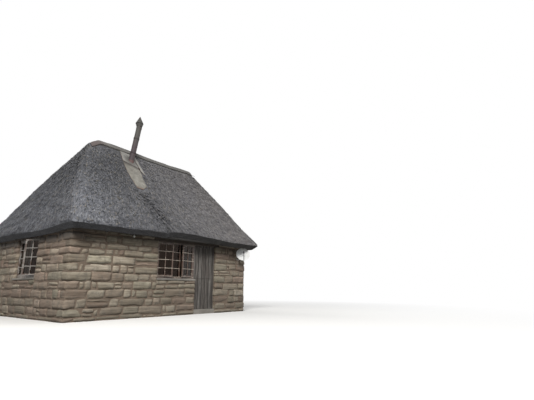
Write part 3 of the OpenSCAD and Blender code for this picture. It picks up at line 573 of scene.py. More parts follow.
def worn_varnish(name, flake_low, flake_high, bare_colour):
    finish, tree, shader = start_finish(name, 0.5)
    place = place_of(tree)
    grain = mottle(tree, place_of(tree, (26.0, 26.0, 5.0)), 1.0, 6.0, 0.6)
    colour = shades(
        tree, grain, (0.25, (0.052, 0.031, 0.023)), (0.5, (0.088, 0.055, 0.042)), (0.8, (0.135, 0.093, 0.072))
    )
    # The cross bars lie a pane apart, and more of their varnish is gone
    from_foot = reckon(tree, "ADD", along(tree, "Z"), -FIRST_BAR_Z)
    rows = reckon(tree, "ADD", reckon(tree, "MULTIPLY", from_foot, 1 / PANE_PITCH), 0.5)
    from_bar = reckon(tree, "ABSOLUTE", reckon(tree, "ADD", reckon(tree, "FRACT", rows), -0.5))
    exposed = level(tree, from_bar, 0.055, 0.045, 0.0, 0.16)
    flaked = reckon(tree, "ADD", mottle(tree, place, 9.0, 7.0, 0.7), exposed)
    bare = level(tree, flaked, flake_low, flake_high)
    paint(tree, shader, mix_paint(tree, bare, colour, bare_colour))
    tree.links.new(level(tree, bare, 0.0, 1.0, 0.38, 0.85), shader.inputs["Roughness"])
    relief(tree, shader, grain, 0.0008)
    return finish


def clear_glass():
    finish, _, shader = start_finish("clear_glass", 0.03)
    # Painted shade and painted reflection: the glass is tinted dark for the shade behind it, and its
    # reflections brown
    shader.inputs["Base Color"].default_value = (0.11, 0.12, 0.12, 1.0)
    shader.inputs["Transmission Weight"].default_value = 1.0
    shader.inputs["IOR"].default_value = 1.33
    shader.inputs["Specular Tint"].default_value = (1.0, 0.74, 0.60, 1.0)
    return finish


front_varnish = worn_varnish("front_varnish", 0.54, 0.66, (0.36, 0.315, 0.265))
end_varnish = worn_varnish("end_varnish", 0.43, 0.57, (0.29, 0.272, 0.252))
finish_nodes(front_varnish, "front_window_frame", "front_window_sashes")
for where in ("left", "right"):
    finish_nodes(end_varnish, f"{where}_window_frame", f"{where}_window_sashes")
finish_nodes(clear_glass(), "front_window_glass", "left_window_glass", "right_window_glass")


# STABLE DOOR
# Each leaf is five upright softwood boards nailed to two ledges and a brace, in a frame of the same wood.
# Sun and rain have silvered the boards and opened their grain, and the joints between them are darker; two
# iron strap hinges carry each leaf.
BOARD_COUNT, BOARD_PITCH, FIRST_BOARD_X = 5, 0.1464, edge_of("door_top_leaf", 0, 0)


def silvered_boards():
    finish, tree, shader = start_finish("silvered_boards", 0.88)
    grain = mottle(tree, place_of(tree, (44.0, 44.0, 2.4)), 1.0, 7.0, 0.62)
    colour = shades(
        tree, grain,
        (0.30, (0.030, 0.026, 0.023)), (0.5, (0.118, 0.110, 0.101)), (0.70, (0.300, 0.282, 0.262)),
    )
    # Each board has its own tone, and the joints between them are darker
    x_shift = reckon(tree, "ADD", along(tree, "X"), -FIRST_BOARD_X)
    number = reckon(tree, "MULTIPLY", x_shift, 1 / BOARD_PITCH)
    board = add_node(tree, "TexWhiteNoise", {"noise_dimensions": "1D"}, W=reckon(tree, "FLOOR", number))
    colour = mix_paint(tree, board.outputs["Value"], colour, (0.60, 0.57, 0.55), "MULTIPLY")
    across = reckon(tree, "ADD", reckon(tree, "FRACT", number), -0.5)
    joint = level(tree, reckon(tree, "ABSOLUTE", across), 0.36, 0.45)
    colour = mix_paint(tree, joint, colour, (0.022, 0.019, 0.017))
    blotch = mottle(tree, place_of(tree, (3.0, 3.0, 1.2)), 1.4, 5.0)
    colour = stain(tree, colour, blotch, 0.5, 0.75, (0.085, 0.072, 0.064))
    paint(tree, shader, colour)
    under = relief(tree, shader, grain, 0.0035)
    relief(tree, shader, mottle(tree, place_of(tree), 130.0, 4.0), 0.0008, under)
    return finish


def black_iron():
    finish, tree, shader = start_finish("black_iron", 0.62, 0.5)
    rust = mottle(tree, place_of(tree), 34.0, 6.0, 0.7)
    colour = shades(
        tree, rust, (0.45, (0.032, 0.030, 0.029)), (0.62, (0.095, 0.048, 0.026)), (0.78, (0.19, 0.088, 0.038))
    )
    paint(tree, shader, colour)
    relief(tree, shader, rust, 0.0012)
    return finish


finish_nodes(silvered_boards(), "door_frame", "door_top_leaf", "door_bottom_leaf")
iron = black_iron()
finish_nodes(iron, "door_top_straps", "door_bottom_straps", "door_hinge_pins")


def turned_shape(outline, steps):
    """Points and faces of a shape turned about Z from (radius, height) pairs."""
    points = [(r * math.cos(2 * math.pi * s / steps), r * math.sin(2 * math.pi * s / steps), z)
              for r, z in outline for s in range(steps)]
    faces = []
    for i in range(len(outline) - 1):
        for s in range(steps):
            a, b = i * steps + s, i * steps + (s + 1) % steps
            faces.append((a, b, b + steps, a + steps))
    return np.array(points), faces


# Two nails through each board into each ledge; the nail head is turned, and then faces forward
NAIL_HEAD, NAIL_SIDES = [(0.0, 0.0022), (0.0045, 0.0018), (0.0062, 0.0004), (0.0062, -0.002)], 8
LEDGE_IN, LEDGE_HALF, NAIL_ROW = 0.12, 0.055, 0.028
FIRST_NAIL, NAIL_STAGGER = 0.071, 0.03
PLAIN_TONE = (0.5, 0.5, 0.5, 1.0)
for leaf, body in (("top", "top_leaf"), ("bottom", "bottom_leaf")):
    low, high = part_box(f"door_{leaf}_leaf")
    ledge = LEDGE_IN * (high.z - low.z) + LEDGE_HALF
    rows = [edge + shift for edge in (low.z + ledge, high.z - ledge) for shift in (-NAIL_ROW, NAIL_ROW)]
    heads = []
    for board in range(BOARD_COUNT):
        for row, z in enumerate(rows):
            points, faces = turned_shape(NAIL_HEAD, NAIL_SIDES)
            x = low.x + BOARD_PITCH * board + FIRST_NAIL + (NAIL_STAGGER if row % 2 else -NAIL_STAGGER)
            facing = np.stack([points[:, 0], -points[:, 2], points[:, 1]], 1)
            heads.append((facing + np.array([x, low.y, z]), faces, PLAIN_TONE))
    points, faces, tones = gather(heads)
    make_piece(f"door_{leaf}_nails", points, faces, iron, body=body, tones=tones)


# ROOF POLES
# Plates, rafters, ties and laths are straight gum poles with the bark off, laid and tied by hand. They have
# dried to a pale brown with dark knots and cracks over the room, and where they run out under the eaves
# they are painted nearly black as the shade of the eaves.
SHADE_EDGE, SHADE_FADE = 0.13, 0.02


def peeled_poles():
    finish, tree, shader = start_finish("peeled_poles", 0.82)
    place = place_of(tree)
    streak = mottle(tree, place, 12.6, 8.0, 0.72)
    colour = shades(
        tree, streak,
        (0.3, (0.075, 0.052, 0.035)), (0.52, (0.145, 0.105, 0.072)), (0.76, (0.235, 0.18, 0.125)),
    )
    knots = add_node(tree, "TexVoronoi", Vector=place, Scale=5.0).outputs["Distance"]
    colour = stain(tree, colour, knots, 0.10, 0.04, (0.05, 0.032, 0.02))
    # Painted shade: the poles are nearly black where they run out under the eaves
    x_edge, y_edge = WALL_X - SHADE_EDGE, WALL_Y - SHADE_EDGE
    x_outside = from_middle(tree, "X", x_edge, x_edge + SHADE_FADE)
    y_outside = from_middle(tree, "Y", y_edge, y_edge + SHADE_FADE)
    eave_shade = reckon(tree, "MAXIMUM", x_outside, y_outside)
    colour = mix_paint(tree, eave_shade, colour, (0.030, 0.028, 0.026))
    paint(tree, shader, colour)
    relief(tree, shader, streak, 0.004)
    return finish


finish_nodes(
    peeled_poles(),
    "wall_plate", "ridge_pole", "rafters_front", "rafters_back", "rafters_ends", "hip_rafters", "laths_front",
    "laths_back", "laths_ends", "tie_beams",
)


# THATCH
# A thick coat of grass, laid in overlapping bundles from the eave up and combed down the slope. It has gone
# grey and pitted, with lime wash below the ridge, a rippled streak worn by the rain off the flue sheets, and
# a sagging cut eave, darkened towards the right with painted shade.
EAVE_X, EAVE_Y = -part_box("thatch_left_hip")[0].x, -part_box("thatch_front")[0].y
UNDER_Z, RIDGE_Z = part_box("thatch_front")[0].z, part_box("thatch_front")[1].z
PITCH = math.radians(46.7)
THATCH_T, HIP_THATCH_T = 0.200, 0.168
EAVE_Z = UNDER_Z + THATCH_T * math.cos(PITCH)
RISE = RIDGE_Z - EAVE_Z
# Run of each hip in plan from eave to ridge, its bulge, and its roll at the ridge
HIP_LEFT, HIP_RIGHT, BULGE, ROLL = 1.580, 0.915, 1.1, 0.08
# Corner radius at the eave, what it gains half-way up, and its radius on the underside
CORNER_R, CORNER_SWELL, CORNER_IN = 0.13, 0.20, 0.15
# Angle of the corner at which each slope begins, anticlockwise from the right as seen from above
FRONT_SLOPE, BACK_SLOPE, LEFT_HIP, RIGHT_HIP = 225, 45, 135, 315
CORNER_STEPS, ROW_COUNT, ROWS_END = 9, 118, 0.9995
# Rise of the cut edge above its mean, as (x, rise) along the front and (y, rise) along the left end
FRONT_EDGE = (
    (-3.27, 0.0), (-2.99, 0.0), (-2.39, 0.01), (-1.73, 0.008), (-1.31, 0.02), (-0.88, 0.004), (-0.64, 0.004),
    (-0.55, 0.05), (-0.19, 0.066), (0.46, 0.06), (1.29, 0.01), (1.41, 0.008), (1.45, -0.015), (2.29, -0.042),
    (3.27, -0.04),
)
LEFT_EDGE = (
    (-2.9, 0.0), (-2.3, 0.004), (-1.9, -0.045), (-1.4, -0.045), (-0.9, -0.052), (-0.3, -0.040), (0.8, -0.012),
    (1.5, -0.032), (2.9, 0.0),
)
# The coat lies high along the left half of the ridge and low at its ends, as (x, lift)
RIDGE_LINE = (
    (-1.9, -0.07), (-1.69, -0.03), (-1.45, 0.105), (-1.0, 0.11), (-0.6, 0.085), (0.0, 0.045), (0.6, 0.005),
    (1.4, -0.03), (2.1, -0.03), (2.355, -0.05),
)


def follow(place, line):
    """The value at a place along a line of (place, value) pairs."""
    return np.interp(place, *zip(*line))


def corner_angles(first):
    return [first + 45 * i / CORNER_STEPS for i in range(CORNER_STEPS + 1)]


def eave_columns(first, straight):
    """Columns of one slope: (x side, y side, angle, x side, y side, angle, share of the second)."""
    def sides(angle):
        return (1 if angle % 360 in (45, 315) else -1), (1 if angle % 360 < 180 else -1)
    start, stop = sides(first), sides(first + 90)
    columns = [(*start, a, *start, a, 0.0) for a in corner_angles(first)]
    for i in range(1, straight):
        columns.append((*start, first + 45, *stop, first + 45, i / straight))
    columns += [(*stop, a, *stop, a, 0.0) for a in corner_angles(first + 45)]
    return np.array(columns, float)


def ring(columns, left, right, half, radius):
    """Points in plan at each row and column, from the reach of the ring to each side."""
    def arc(x_side, y_side, angle):
        reach = np.where(x_side > 0, right, left)
        x = x_side * (reach - radius) + radius * np.cos(np.radians(angle))
        return np.stack([x, y_side * (half - radius) + radius * np.sin(np.radians(angle))], -1)

    first, second = arc(*columns[:, 0:3].T), arc(*columns[:, 3:6].T)
    share = columns[:, 6][None, :, None]
    return first * (1 - share) + second * share


def ridge_lift(x, t):
    """How far the top of the coat lies above its mean line, from nothing half-way up to the ridge."""
    share = np.clip((t - 0.55) / 0.45, 0, 1)
    return follow(x, RIDGE_LINE) * share * share * (3 - 2 * share)


def outer_surface(columns, t):
    """The top of the thatch at rows and columns of t, from the eave at 0 to the ridge at 1."""
    rolled = ROLL * (1 - np.sqrt(np.clip(1 - t * t, 0, 1)))
    run = np.where(t < 0, t, (1 - ROLL) * np.abs(t) ** BULGE) + rolled
    half = EAVE_Y * (1 - t)
    radius = np.minimum(CORNER_R * (1 - t) + 4 * CORNER_SWELL * np.clip(t, 0, 1) * (1 - t), half)
    plan = ring(columns, EAVE_X - HIP_LEFT * run, EAVE_X - HIP_RIGHT * run, half, radius)
    height = EAVE_Z + RISE * t + ridge_lift(plan[..., 0], t)
    return np.concatenate([plan, height[..., None]], -1)


def under_surface(columns, t):
    """The underside of the thatch, which lies on the laths."""
    half_y = EAVE_Y - THATCH_T * math.sin(PITCH)
    in_rise = half_y * math.tan(PITCH)
    reach = []
    for hip in (HIP_LEFT, HIP_RIGHT):
        steep = RISE / hip
        angle = math.atan(steep)
        foot = EAVE_X - (HIP_THATCH_T - THATCH_T * math.cos(PITCH) * math.cos(angle)) / math.sin(angle)
        reach.append(foot - in_rise * t / steep)
    half = half_y * (1 - t)
    plan = ring(columns, reach[0], reach[1], half, np.minimum(CORNER_IN, half))
    return np.concatenate([plan, (UNDER_Z + in_rise * t)[..., None]], -1)


def ruffle(u, v, scale_u, scale_v, seed):
    """Unevenness over two distances, such as along the eave and up the slope, from about -1 to 1."""
    shift = seed_shift(seed)
    pairs = zip(u.ravel() * scale_u, v.ravel() * scale_v)
    return np.array([noise.noise(Vector((a, b, 0.0)) + shift) for a, b in pairs]).reshape(u.shape)


def edge_rise(columns):
    """How far up the slope the eave is cut in each column, as a share of the whole slope."""
    x, y = np.moveaxis(outer_surface(columns, np.zeros((1, len(columns))))[0], -1, 0)[:2]
    front = (y < -EAVE_Y + 0.05) | ((y < 0) & (np.abs(x) > EAVE_X - 0.3) & (y < -EAVE_Y + 0.25))
    rise = np.where(front, follow(x, FRONT_EDGE), 0.0)
    left = (x < 0) & ~front
    rise = np.where(left, follow(y, LEFT_EDGE), rise)
    right_end = -EAVE_Y * 0.3
    right = (x > 0) & ~front & (y < right_end)
    rise = np.where(right, follow(y, ((-EAVE_Y, FRONT_EDGE[-1][1]), (right_end, 0.0))), rise)
    uneven = ((0.010, 1.3, 41), (0.006, 5.0, 42), (0.004, 17.0, 43))
    rise += sum(height * ruffle(x, y, scale, scale, seed) for height, scale, seed in uneven)
    return rise / RISE


def grid_normals(grid):
    normal = np.cross(np.gradient(grid, axis=1), np.gradient(grid, axis=0))
    return normal / np.maximum(np.linalg.norm(normal, axis=2, keepdims=True), 1e-9)


# The streak below the flue sheets, as (distance in front of the ridge, x) and (distance, width)
STREAK_LINE = ((1.55, -0.80), (2.1, -0.70), (2.85, -0.52))
STREAK_WIDTH = ((1.55, 0.13), (2.1, 0.27), (2.85, 0.20))
RIPPLE = 0.125


def worn_streak(points):
    """Share of the streak below the flue sheets, and the height of its ripples from -1 to 1."""
    x, y = points[..., 0], -points[..., 1]
    off_line = (x - follow(y, STREAK_LINE)) / follow(y, STREAK_WIDTH)
    share = np.exp(-off_line ** 2) * np.clip((y - 1.5) / 0.2, 0, 1)
    ripple = np.sin((y + 0.10 * np.sin(x * 9.0) - 0.25 * x) * 2 * math.pi / RIPPLE)
    return share, ripple


# Right edge of the flue sheets, as (distance in front of the ridge, x)
SHEETS_RIGHT = ((0.2, -0.19), (0.93, -0.19), (1.0, -0.37), (1.5, -0.44))


def bare_share(points):
    """1 where the flue sheets or the ridge capping lie on the thatch, falling to 0 round them."""
    x, y, z = points[..., 0], -points[..., 1], points[..., 2]
    across = np.minimum((x + 0.90) / 0.05, (follow(y, SHEETS_RIGHT) - x) / 0.05)
    sheets = np.clip(across + 0.6, 0, 1) * np.clip((1.56 - y) / 0.06, 0, 1) * (y > 0.08)
    cap = np.clip((z - (RIDGE_Z - 0.24 + ridge_lift(x, 0.95))) / 0.06, 0, 1) * (x > -1.72) * (x < 2.40)
    return np.maximum(sheets, cap)


def age_tone(points):
    """Darker at the top left of the front, paler to its right, by the left hip's eave and under the ridge."""
    x, y, z = points[..., 0], points[..., 1], points[..., 2]
    front = np.clip(-y / 0.6, 0, 1)
    high = np.clip((z - 2.9) / 1.3, 0, 1)
    tone = -0.27 * np.exp(-((x + 1.35) / 1.0) ** 2) * high * front
    tone += 0.46 * np.clip((x + 0.8) / 2.2, 0, 1) * front - 0.04 * np.clip((2.9 - z) / 0.6, 0, 1)
    # Lime washed out of the ridge capping, right of the flue
    tone += 0.32 * np.clip(1.9 - (RIDGE_Z - z) / 0.25, 0, 1) * np.clip((x + 0.3) / 0.4, 0, 1) * front
    return tone + np.clip((-x - 2.0) / 0.6, 0, 1) * (0.33 - 0.42 * high)


def weathered_thatch():
    """Grey grass with fine streaks down the slope, dark pits, bleached straw, and painted light and shade."""
    finish, tree, shader = start_finish("weathered_thatch", 0.95)
    shader.inputs["Specular IOR Level"].default_value = 0.2
    lay = add_node(tree, "Attribute", {"attribute_name": "lay"}).outputs["Vector"]
    tone, pits, straw = point_tones(tree)

    def along_grass(across, down, detail, roughness=0.6):
        place = add_node(tree, "Mapping", Vector=lay, Scale=(across, down, 1.0)).outputs["Vector"]
        return mottle(tree, place, 1.0, detail, roughness)

    fine = along_grass(75.0, 13.0, 5.0, 0.7)
    clump = along_grass(21.0, 5.5, 4.0, 0.65)
    damp = along_grass(1.4, 1.1, 4.0)
    colour = shades(
        tree, fine,
        (0.26, (0.056, 0.057, 0.060)), (0.50, (0.167, 0.166, 0.169)), (0.72, (0.288, 0.282, 0.278)),
    )
    colour = stain(tree, colour, clump, 0.44, 0.60, (0.56, 0.56, 0.58), "MULTIPLY")
    colour = stain(tree, colour, damp, 0.40, 0.72, (0.84, 0.85, 0.88), "MULTIPLY")
    # Painted light: the roof is tinted cool on the left and warm on the right, as the light falls on it
    painted_sun_side = level(tree, along(tree, "X"), -2.6, 2.6)
    tint = mix_paint(tree, painted_sun_side, (0.935, 0.975, 1.045), (1.03, 0.99, 0.965))
    colour = mix_paint(tree, 1.0, colour, tint, "MULTIPLY")
    bright = level(tree, tone, 0.0, 1.0, 0.50, 1.50)
    grey = add_node(tree, "CombineXYZ", i0=bright, i1=bright, i2=bright).outputs[0]
    colour = mix_paint(tree, 1.0, colour, grey, "MULTIPLY")
    # Dark pits, and on the cut eave the painted shade, from the second share kept with each point
    colour = mix_paint(tree, pits, colour, (0.030, 0.032, 0.029))
    colour = mix_paint(tree, straw, colour, (0.205, 0.185, 0.155))
    paint(tree, shader, colour)
    under = relief(tree, shader, clump, 0.016)
    relief(tree, shader, fine, 0.008, under)
    return finish


# How far below the ridge the loose bundles end, and how far one lies askew
BARE_BELOW_RIDGE, ASKEW = 0.07, 0.12


def lie_down(surface, count, rng, width, length, overshoot):
    """Places, directions and sizes of small bundles of grass that lie down the slope."""
    grid, normal, u, v = surface
    columns = grid.shape[1]
    across = np.linalg.norm(np.diff(grid, axis=1), axis=2)[:-1]
    area = across * np.linalg.norm(np.diff(grid, axis=0), axis=2)[:, :-1]
    cell = rng.choice(area.size, count, p=(area / area.sum()).ravel())
    row, column = cell // (columns - 1), cell % (columns - 1)
    a, b = rng.random(count)[:, None], rng.random(count)[:, None]

    def at(values):
        values = values if values.ndim == 3 else values[..., None]
        low = values[row, column] * (1 - b) + values[row, column + 1] * b
        high = values[row + 1, column] * (1 - b) + values[row + 1, column + 1] * b
        return low * (1 - a) + high * a

    spot, out, along_eave, up = at(grid), at(normal), at(u)[:, 0], at(v)[:, 0]
    down = grid[row, column] - grid[row + 1, column]
    down /= np.maximum(np.linalg.norm(down, axis=1, keepdims=True), 1e-9)
    side = np.cross(down, out)
    side /= np.linalg.norm(side, axis=1, keepdims=True)
    turn = rng.normal(0, ASKEW, count)[:, None]
    down, side = down * np.cos(turn) + side * np.sin(turn), side * np.cos(turn) - down * np.sin(turn)
    long, wide = rng.uniform(*length, count), rng.uniform(*width, count)
    keep = (up - long > -overshoot) & (spot[:, 2] < RIDGE_Z - BARE_BELOW_RIDGE)
    for reach in (0.0, 0.5, 1.0):
        keep &= bare_share(spot + down * (long * reach)[:, None]) < 0.3
    return [x[keep] for x in (spot, out, along_eave, up, down, side, long, wide)]


# Width, length, lift of the lower end, overhang at the eave, share of dark ones, and ribs across each
BUNDLE = {
    "width": (0.016, 0.042), "length": (0.09, 0.20), "lift": (0.004, 0.015), "overshoot": 0.012,
    "dark_share": 0.14, "ribs": (-1.0, 0.0, 1.0),
}
STRAW = {
    "width": (0.004, 0.010), "length": (0.07, 0.17), "lift": (0.007, 0.020), "overshoot": 0.022,
    "dark_share": 0.05, "ribs": (-1.0, 1.0),
}
BLEACHED_SHARE, RAGGED = 0.12, 0.12
# Rows of points down a bundle, as (share of its length, share of its lift); its head is tucked under
TUCKED, BUNDLE_ROWS = -0.006, ((0.0, 0.0), (0.55, 0.55), (1.0, 1.0))


def tufts(surface, count, rng, width, length, lift, overshoot, dark_share, ribs):
    """Bundles or single straws, each with ribs across it and a ragged lower end."""
    laid = lie_down(surface, count, rng, width, length, overshoot)
    spot, out, along_eave, up, down, side, long, wide = laid
    n, last, step = len(spot), len(BUNDLE_ROWS) - 1, len(ribs)
    raise_end = rng.uniform(*lift, n)
    streak, ripple = worn_streak(spot)
    tone = rng.normal(0.46, 0.15, n) + age_tone(spot) + streak * ripple * 0.10
    pits = (rng.random(n) < dark_share) * rng.uniform(0.3, 0.8, n)
    pits = pits + streak * np.clip((-spot[:, 1] - 2.35) / 0.3, 0, 0.10)
    straw = (rng.random(n) < BLEACHED_SHARE) * rng.uniform(0.2, 0.7, n)
    points, lay = np.empty((n, last + 1, step, 3)), np.zeros((n, last + 1, step, 3))
    for i, (go, high) in enumerate(BUNDLE_ROWS):
        for j, across in enumerate(ribs):
            ragged = rng.uniform(-RAGGED, RAGGED, n) if i == last else 0.0
            reach = long * (go + ragged)
            height = raise_end * high if i else np.full(n, TUCKED)
            height = height + (0.12 * wide if across == 0.0 and i else 0.0)
            share = wide * across * (0.5 if i < last else 0.40)
            points[:, i, j] = spot + down * reach[:, None] + side * share[:, None] + out * height[:, None]
            lay[:, i, j] = np.stack([along_eave + share, up - reach, tone], -1)
    quads = [
        (step * i + j, step * i + j + 1, step * (i + 1) + j + 1, step * (i + 1) + j)
        for i in range(last) for j in range(step - 1)
    ]
    each = (last + 1) * step
    index = np.arange(n)[:, None] * each
    faces = np.concatenate([index + np.array([quad]) for quad in quads])
    shade = np.stack([np.clip(tone, 0, 1.2), np.clip(pits, 0, 0.9), straw, np.ones(n)], 1)
    return points.reshape(-1, 3), faces, np.repeat(shade, each, 0), lay.reshape(-1, 3)


def grid_faces(rows, columns, base=0, flip=False):
    r, c = np.meshgrid(np.arange(rows - 1), np.arange(columns - 1), indexing="ij")
    corner = (r * columns + c + base).ravel()
    quad = np.stack([corner, corner + 1, corner + columns + 1, corner + columns], 1)
    return quad[:, ::-1] if flip else quad


# Distance along the eave at which each slope starts, so that the grass runs on round the corners
EAVE_START = {FRONT_SLOPE: 0.0, RIGHT_HIP: 6.6, BACK_SLOPE: 12.4, LEFT_HIP: 19.0}
# Marks of the bundles, as (marks to the metre along the eave and up the slope, seed, height)
BUNDLE_MARKS = ((7.0, 2.2, 2, 0.010), (24.0, 7.0, 3, 0.009), (3.2, 3.0, 4, 0.010))
ROUNDED_EAVE, EAVE_DROP, PRESSED = 0.06, 0.022, 0.008


def coat(first, straight):
    """The worn top of one slope: its grid, normals and distances along the eave and up the slope."""
    columns = eave_columns(first, straight)
    rise = edge_rise(columns)
    rows = 1 - (1 - np.linspace(0, ROWS_END, ROW_COUNT)) ** 1.15
    t = rise[None] + (1 - rise[None]) * rows[:, None]
    grid = outer_surface(columns, t)
    middle = len(columns) // 2
    u, v = (
        np.concatenate([[0], np.cumsum(np.linalg.norm(np.diff(line, axis=0), axis=1))])
        for line in (grid[0], grid[:, middle])
    )
    u = np.broadcast_to((u + EAVE_START[first])[None, :], grid.shape[:2])
    v = np.broadcast_to(v[:, None], grid.shape[:2])
    normal = grid_normals(grid)
    if normal[10, middle, 2] < 0:
        normal = -normal
    # Broad waves in the hut's own axes, so that two slopes meet, then bundle marks and the worn streak
    x, y, z = np.moveaxis(grid, -1, 0)
    lift = ruffle(x + y * 0.6, z + y * 0.3, 0.75, 0.75, 1) * 0.026
    marks = sum(ruffle(u, v, scale_u, scale_v, seed) * high for scale_u, scale_v, seed, high in BUNDLE_MARKS)
    streak, ripple = worn_streak(grid)
    marks = marks + streak * (-0.012 + 0.010 * ripple)
    from_end = np.arange(len(columns))
    meet = np.clip(np.minimum(from_end, from_end[::-1]) / CORNER_STEPS, 0, 1)
    bare = bare_share(grid)
    lift = (lift + marks * meet[None]) * (1 - bare) - PRESSED * bare
    lift -= EAVE_DROP * np.clip(1 - v / ROUNDED_EAVE, 0, 1) ** 2
    return columns, rise, grid + normal * lift[..., None], normal, u, v


def tone_stack(bright, pits, straw):
    """Brightness, pits and painted shade, and bleached straw for each point of a grid; each a grid or one
    number.
    """
    return np.stack(np.broadcast_arrays(bright, pits, straw, 1.0), -1)


CUT_ROWS, CUT_RAGGED, UNDER_ROWS = 7, 0.014, 14


def cut_end(columns, rise, top_edge, u, seed):
    """The ragged cut end of the grass, from the top edge in to the underside, with painted shade darker to
    the right.
    """
    share = np.linspace(0, 1, CUT_ROWS)[:, None]
    inner = under_surface(columns, rise[None])[0]
    cut = top_edge[None] * (1 - share[..., None]) + inner[None] * share[..., None]
    across = np.broadcast_to(u[0][None], cut.shape[:2])
    rough = ruffle(across, np.broadcast_to(share * 0.2, cut.shape[:2]), 16.0, 30.0, seed)
    rough = rough * np.minimum(1, np.sin(share * math.pi) * 2) * CUT_RAGGED
    cut = cut + grid_normals(cut) * rough[..., None]
    # Painted shade: the cut end darkens towards the right
    damp = 0.10 + 0.45 * np.clip((cut[..., 0] + 0.4) / 1.6, 0, 1)
    return cut, tone_stack(0.35, damp, 0.05), across * 2, share * 1.2, True


def underside(columns, rise, u):
    """The combed underside of the grass over the laths."""
    share = np.linspace(0, 1, UNDER_ROWS)[:, None]
    under = under_surface(columns, rise[None] + (ROWS_END - rise[None]) * share)
    across = np.broadcast_to(u[0][None], under.shape[:2])
    return under, tone_stack(np.full_like(across, 0.20), 0.25, 0.45), across, share * 4, True


def thatch_piece(name, first, straight, bundle_count, straw_count, seed, node):
    """One slope: its worn top, cut end and underside, with loose bundles and straws on top."""
    rng = np.random.default_rng(seed)
    columns, rise, grid, normal, u, v = coat(first, straight)
    streak, ripple = worn_streak(grid)
    tone = 0.34 + ruffle(u, v, 1.1, 0.9, 8) * 0.16 + age_tone(grid) + streak * (0.04 + 0.10 * ripple)
    layers = (
        (grid, tone_stack(tone, streak * 0.15, 0.0), u, v, False),
        cut_end(columns, rise, grid[0], u, seed),
        underside(columns, rise, u),
    )
    parts, base = [], 0
    for shape, shade, across, down, flip in layers:
        lay = np.stack(np.broadcast_arrays(across, down, 0.0), -1)
        faces = grid_faces(*shape.shape[:2], base, flip)
        parts.append((shape.reshape(-1, 3), faces, shade.reshape(-1, 4), lay.reshape(-1, 3)))
        base += len(parts[-1][0])
    for count, kind in ((bundle_count, BUNDLE), (straw_count, STRAW)):
        shape, faces, shade, lay = tufts((grid, normal, u, v), count, rng, **kind)
        parts.append((shape, faces + base, shade, lay))
        base += len(shape)
    points, faces, tones, lays = (np.concatenate(part) for part in zip(*parts))
    make_piece(name, points, faces, thatch_finish, (node,), tones=tones, lay=lays)


thatch_finish = weathered_thatch()
for name, first, straight, bundle_count, straw_count, seed, node in (
    ("front_thatch", FRONT_SLOPE, 150, 12500, 9000, 31, "thatch_front"),
    ("back_thatch", BACK_SLOPE, 150, 12500, 9000, 32, "thatch_back"),
    ("left_hip_thatch", LEFT_HIP, 120, 8500, 6000, 33, "thatch_left_hip"),
    ("right_hip_thatch", RIGHT_HIP, 120, 8500, 6000, 34, "thatch_right_hip"),
):
    thatch_piece(name, first, straight, bundle_count, straw_count, seed, node)


# RIDGE CAPPING
# A saddle of lime and cement mortar is trowelled over the top of the thatch to keep out the rain. It is
# uneven, its lower edges wander, its left end is brown, and grey lichen has dulled it towards the right.
# Reach down each slope, thickness there and at the lower edge, and how far each end is set in
CAP_REACH, CAP_THICK, CAP_LIP, CAP_END_IN = 0.262, 0.036, 0.014, 0.005
CAP_STEPS, CAP_WIDTH = 130, 23


def ridge_mortar():
    finish, tree, shader = start_finish("ridge_mortar", 0.95)
    broad = mottle(tree, place_of(tree, (1.0, 2.0, 2.0)), 3.0, 6.0, 0.65)
    grit = mottle(tree, place_of(tree), 60.0, 5.0, 0.7)
    colour = shades(
        tree, broad,
        (0.30, (0.082, 0.078, 0.074)), (0.5, (0.130, 0.125, 0.117)), (0.72, (0.190, 0.182, 0.170)),
    )
    x = along(tree, "X")
    lichen = mix_paint(tree, 0.55, colour, (0.100, 0.097, 0.093))
    colour = stain(tree, colour, x, -1.2, 1.2, lichen)
    colour = stain(tree, colour, x, -1.2, -1.6, (0.105, 0.086, 0.083))
    colour = stain(tree, colour, grit, 0.6, 0.8, (0.09, 0.084, 0.076))
    paint(tree, shader, colour)
    under = relief(tree, shader, broad, 0.012)
    relief(tree, shader, grit, 0.003, under)
    return finish


def ridge_saddle():
    """A bent strip of mortar with a rounded top, wandering lower edges and turned-in ends."""
    low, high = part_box("ridge_cap")
    points = []
    for i, x in enumerate(np.linspace(low.x + CAP_END_IN, high.x - CAP_END_IN, CAP_STEPS)):
        end = min(i, CAP_STEPS - 1 - i)
        top = RIDGE_Z + 0.018 + float(ridge_lift(x, 1.0)) - 0.030 * max(0, 1 - end / 3) ** 2
        for s in np.linspace(-1, 1, CAP_WIDTH):
            away = abs(s)
            seed = 3.0 if s < 0 else 7.0
            wander = 0.16 * noise.noise(Vector((x * 1.7, seed + 2, 0)))
            wander += 0.07 * noise.noise(Vector((x * 9.0, seed, 0)))
            down = away * CAP_REACH * min(1 + wander * away, 1.04)
            skin = CAP_THICK if away < 0.93 else CAP_LIP
            y = math.copysign(down * math.cos(PITCH) + skin * math.sin(PITCH) * min(1, away / 0.2), s)
            z = top - down * math.sin(PITCH) + skin * math.cos(PITCH) - 0.030 * math.exp(-(s / 0.16) ** 2)
            lump = 0.010 * noise.noise(Vector((x * 3.0, y * 6.0, 2.0)))
            lump += 0.005 * noise.noise(Vector((x * 14.0, y * 20.0, 4.0)))
            points.append((x, y, z + lump * (1 - away)))
    # The under face is the top one let down, and the rim closes the two
    under = len(points)
    points += [(x, y * 0.97, z - 0.035) for x, y, z in points]
    faces = grid_faces(CAP_STEPS, CAP_WIDTH).tolist()
    front = [i * CAP_WIDTH for i in range(CAP_STEPS)]
    back = [i + CAP_WIDTH - 1 for i in front]
    left = list(range(CAP_WIDTH))
    right = [front[-1] + i for i in left]
    for edge in (front[::-1], back, left, right[::-1]):
        faces += [(a, b, b + under, a + under) for a, b in zip(edge, edge[1:])]
    return points, faces


points, faces = ridge_saddle()
make_piece("ridge_saddle", points, faces, ridge_mortar(), ("ridge_cap",))


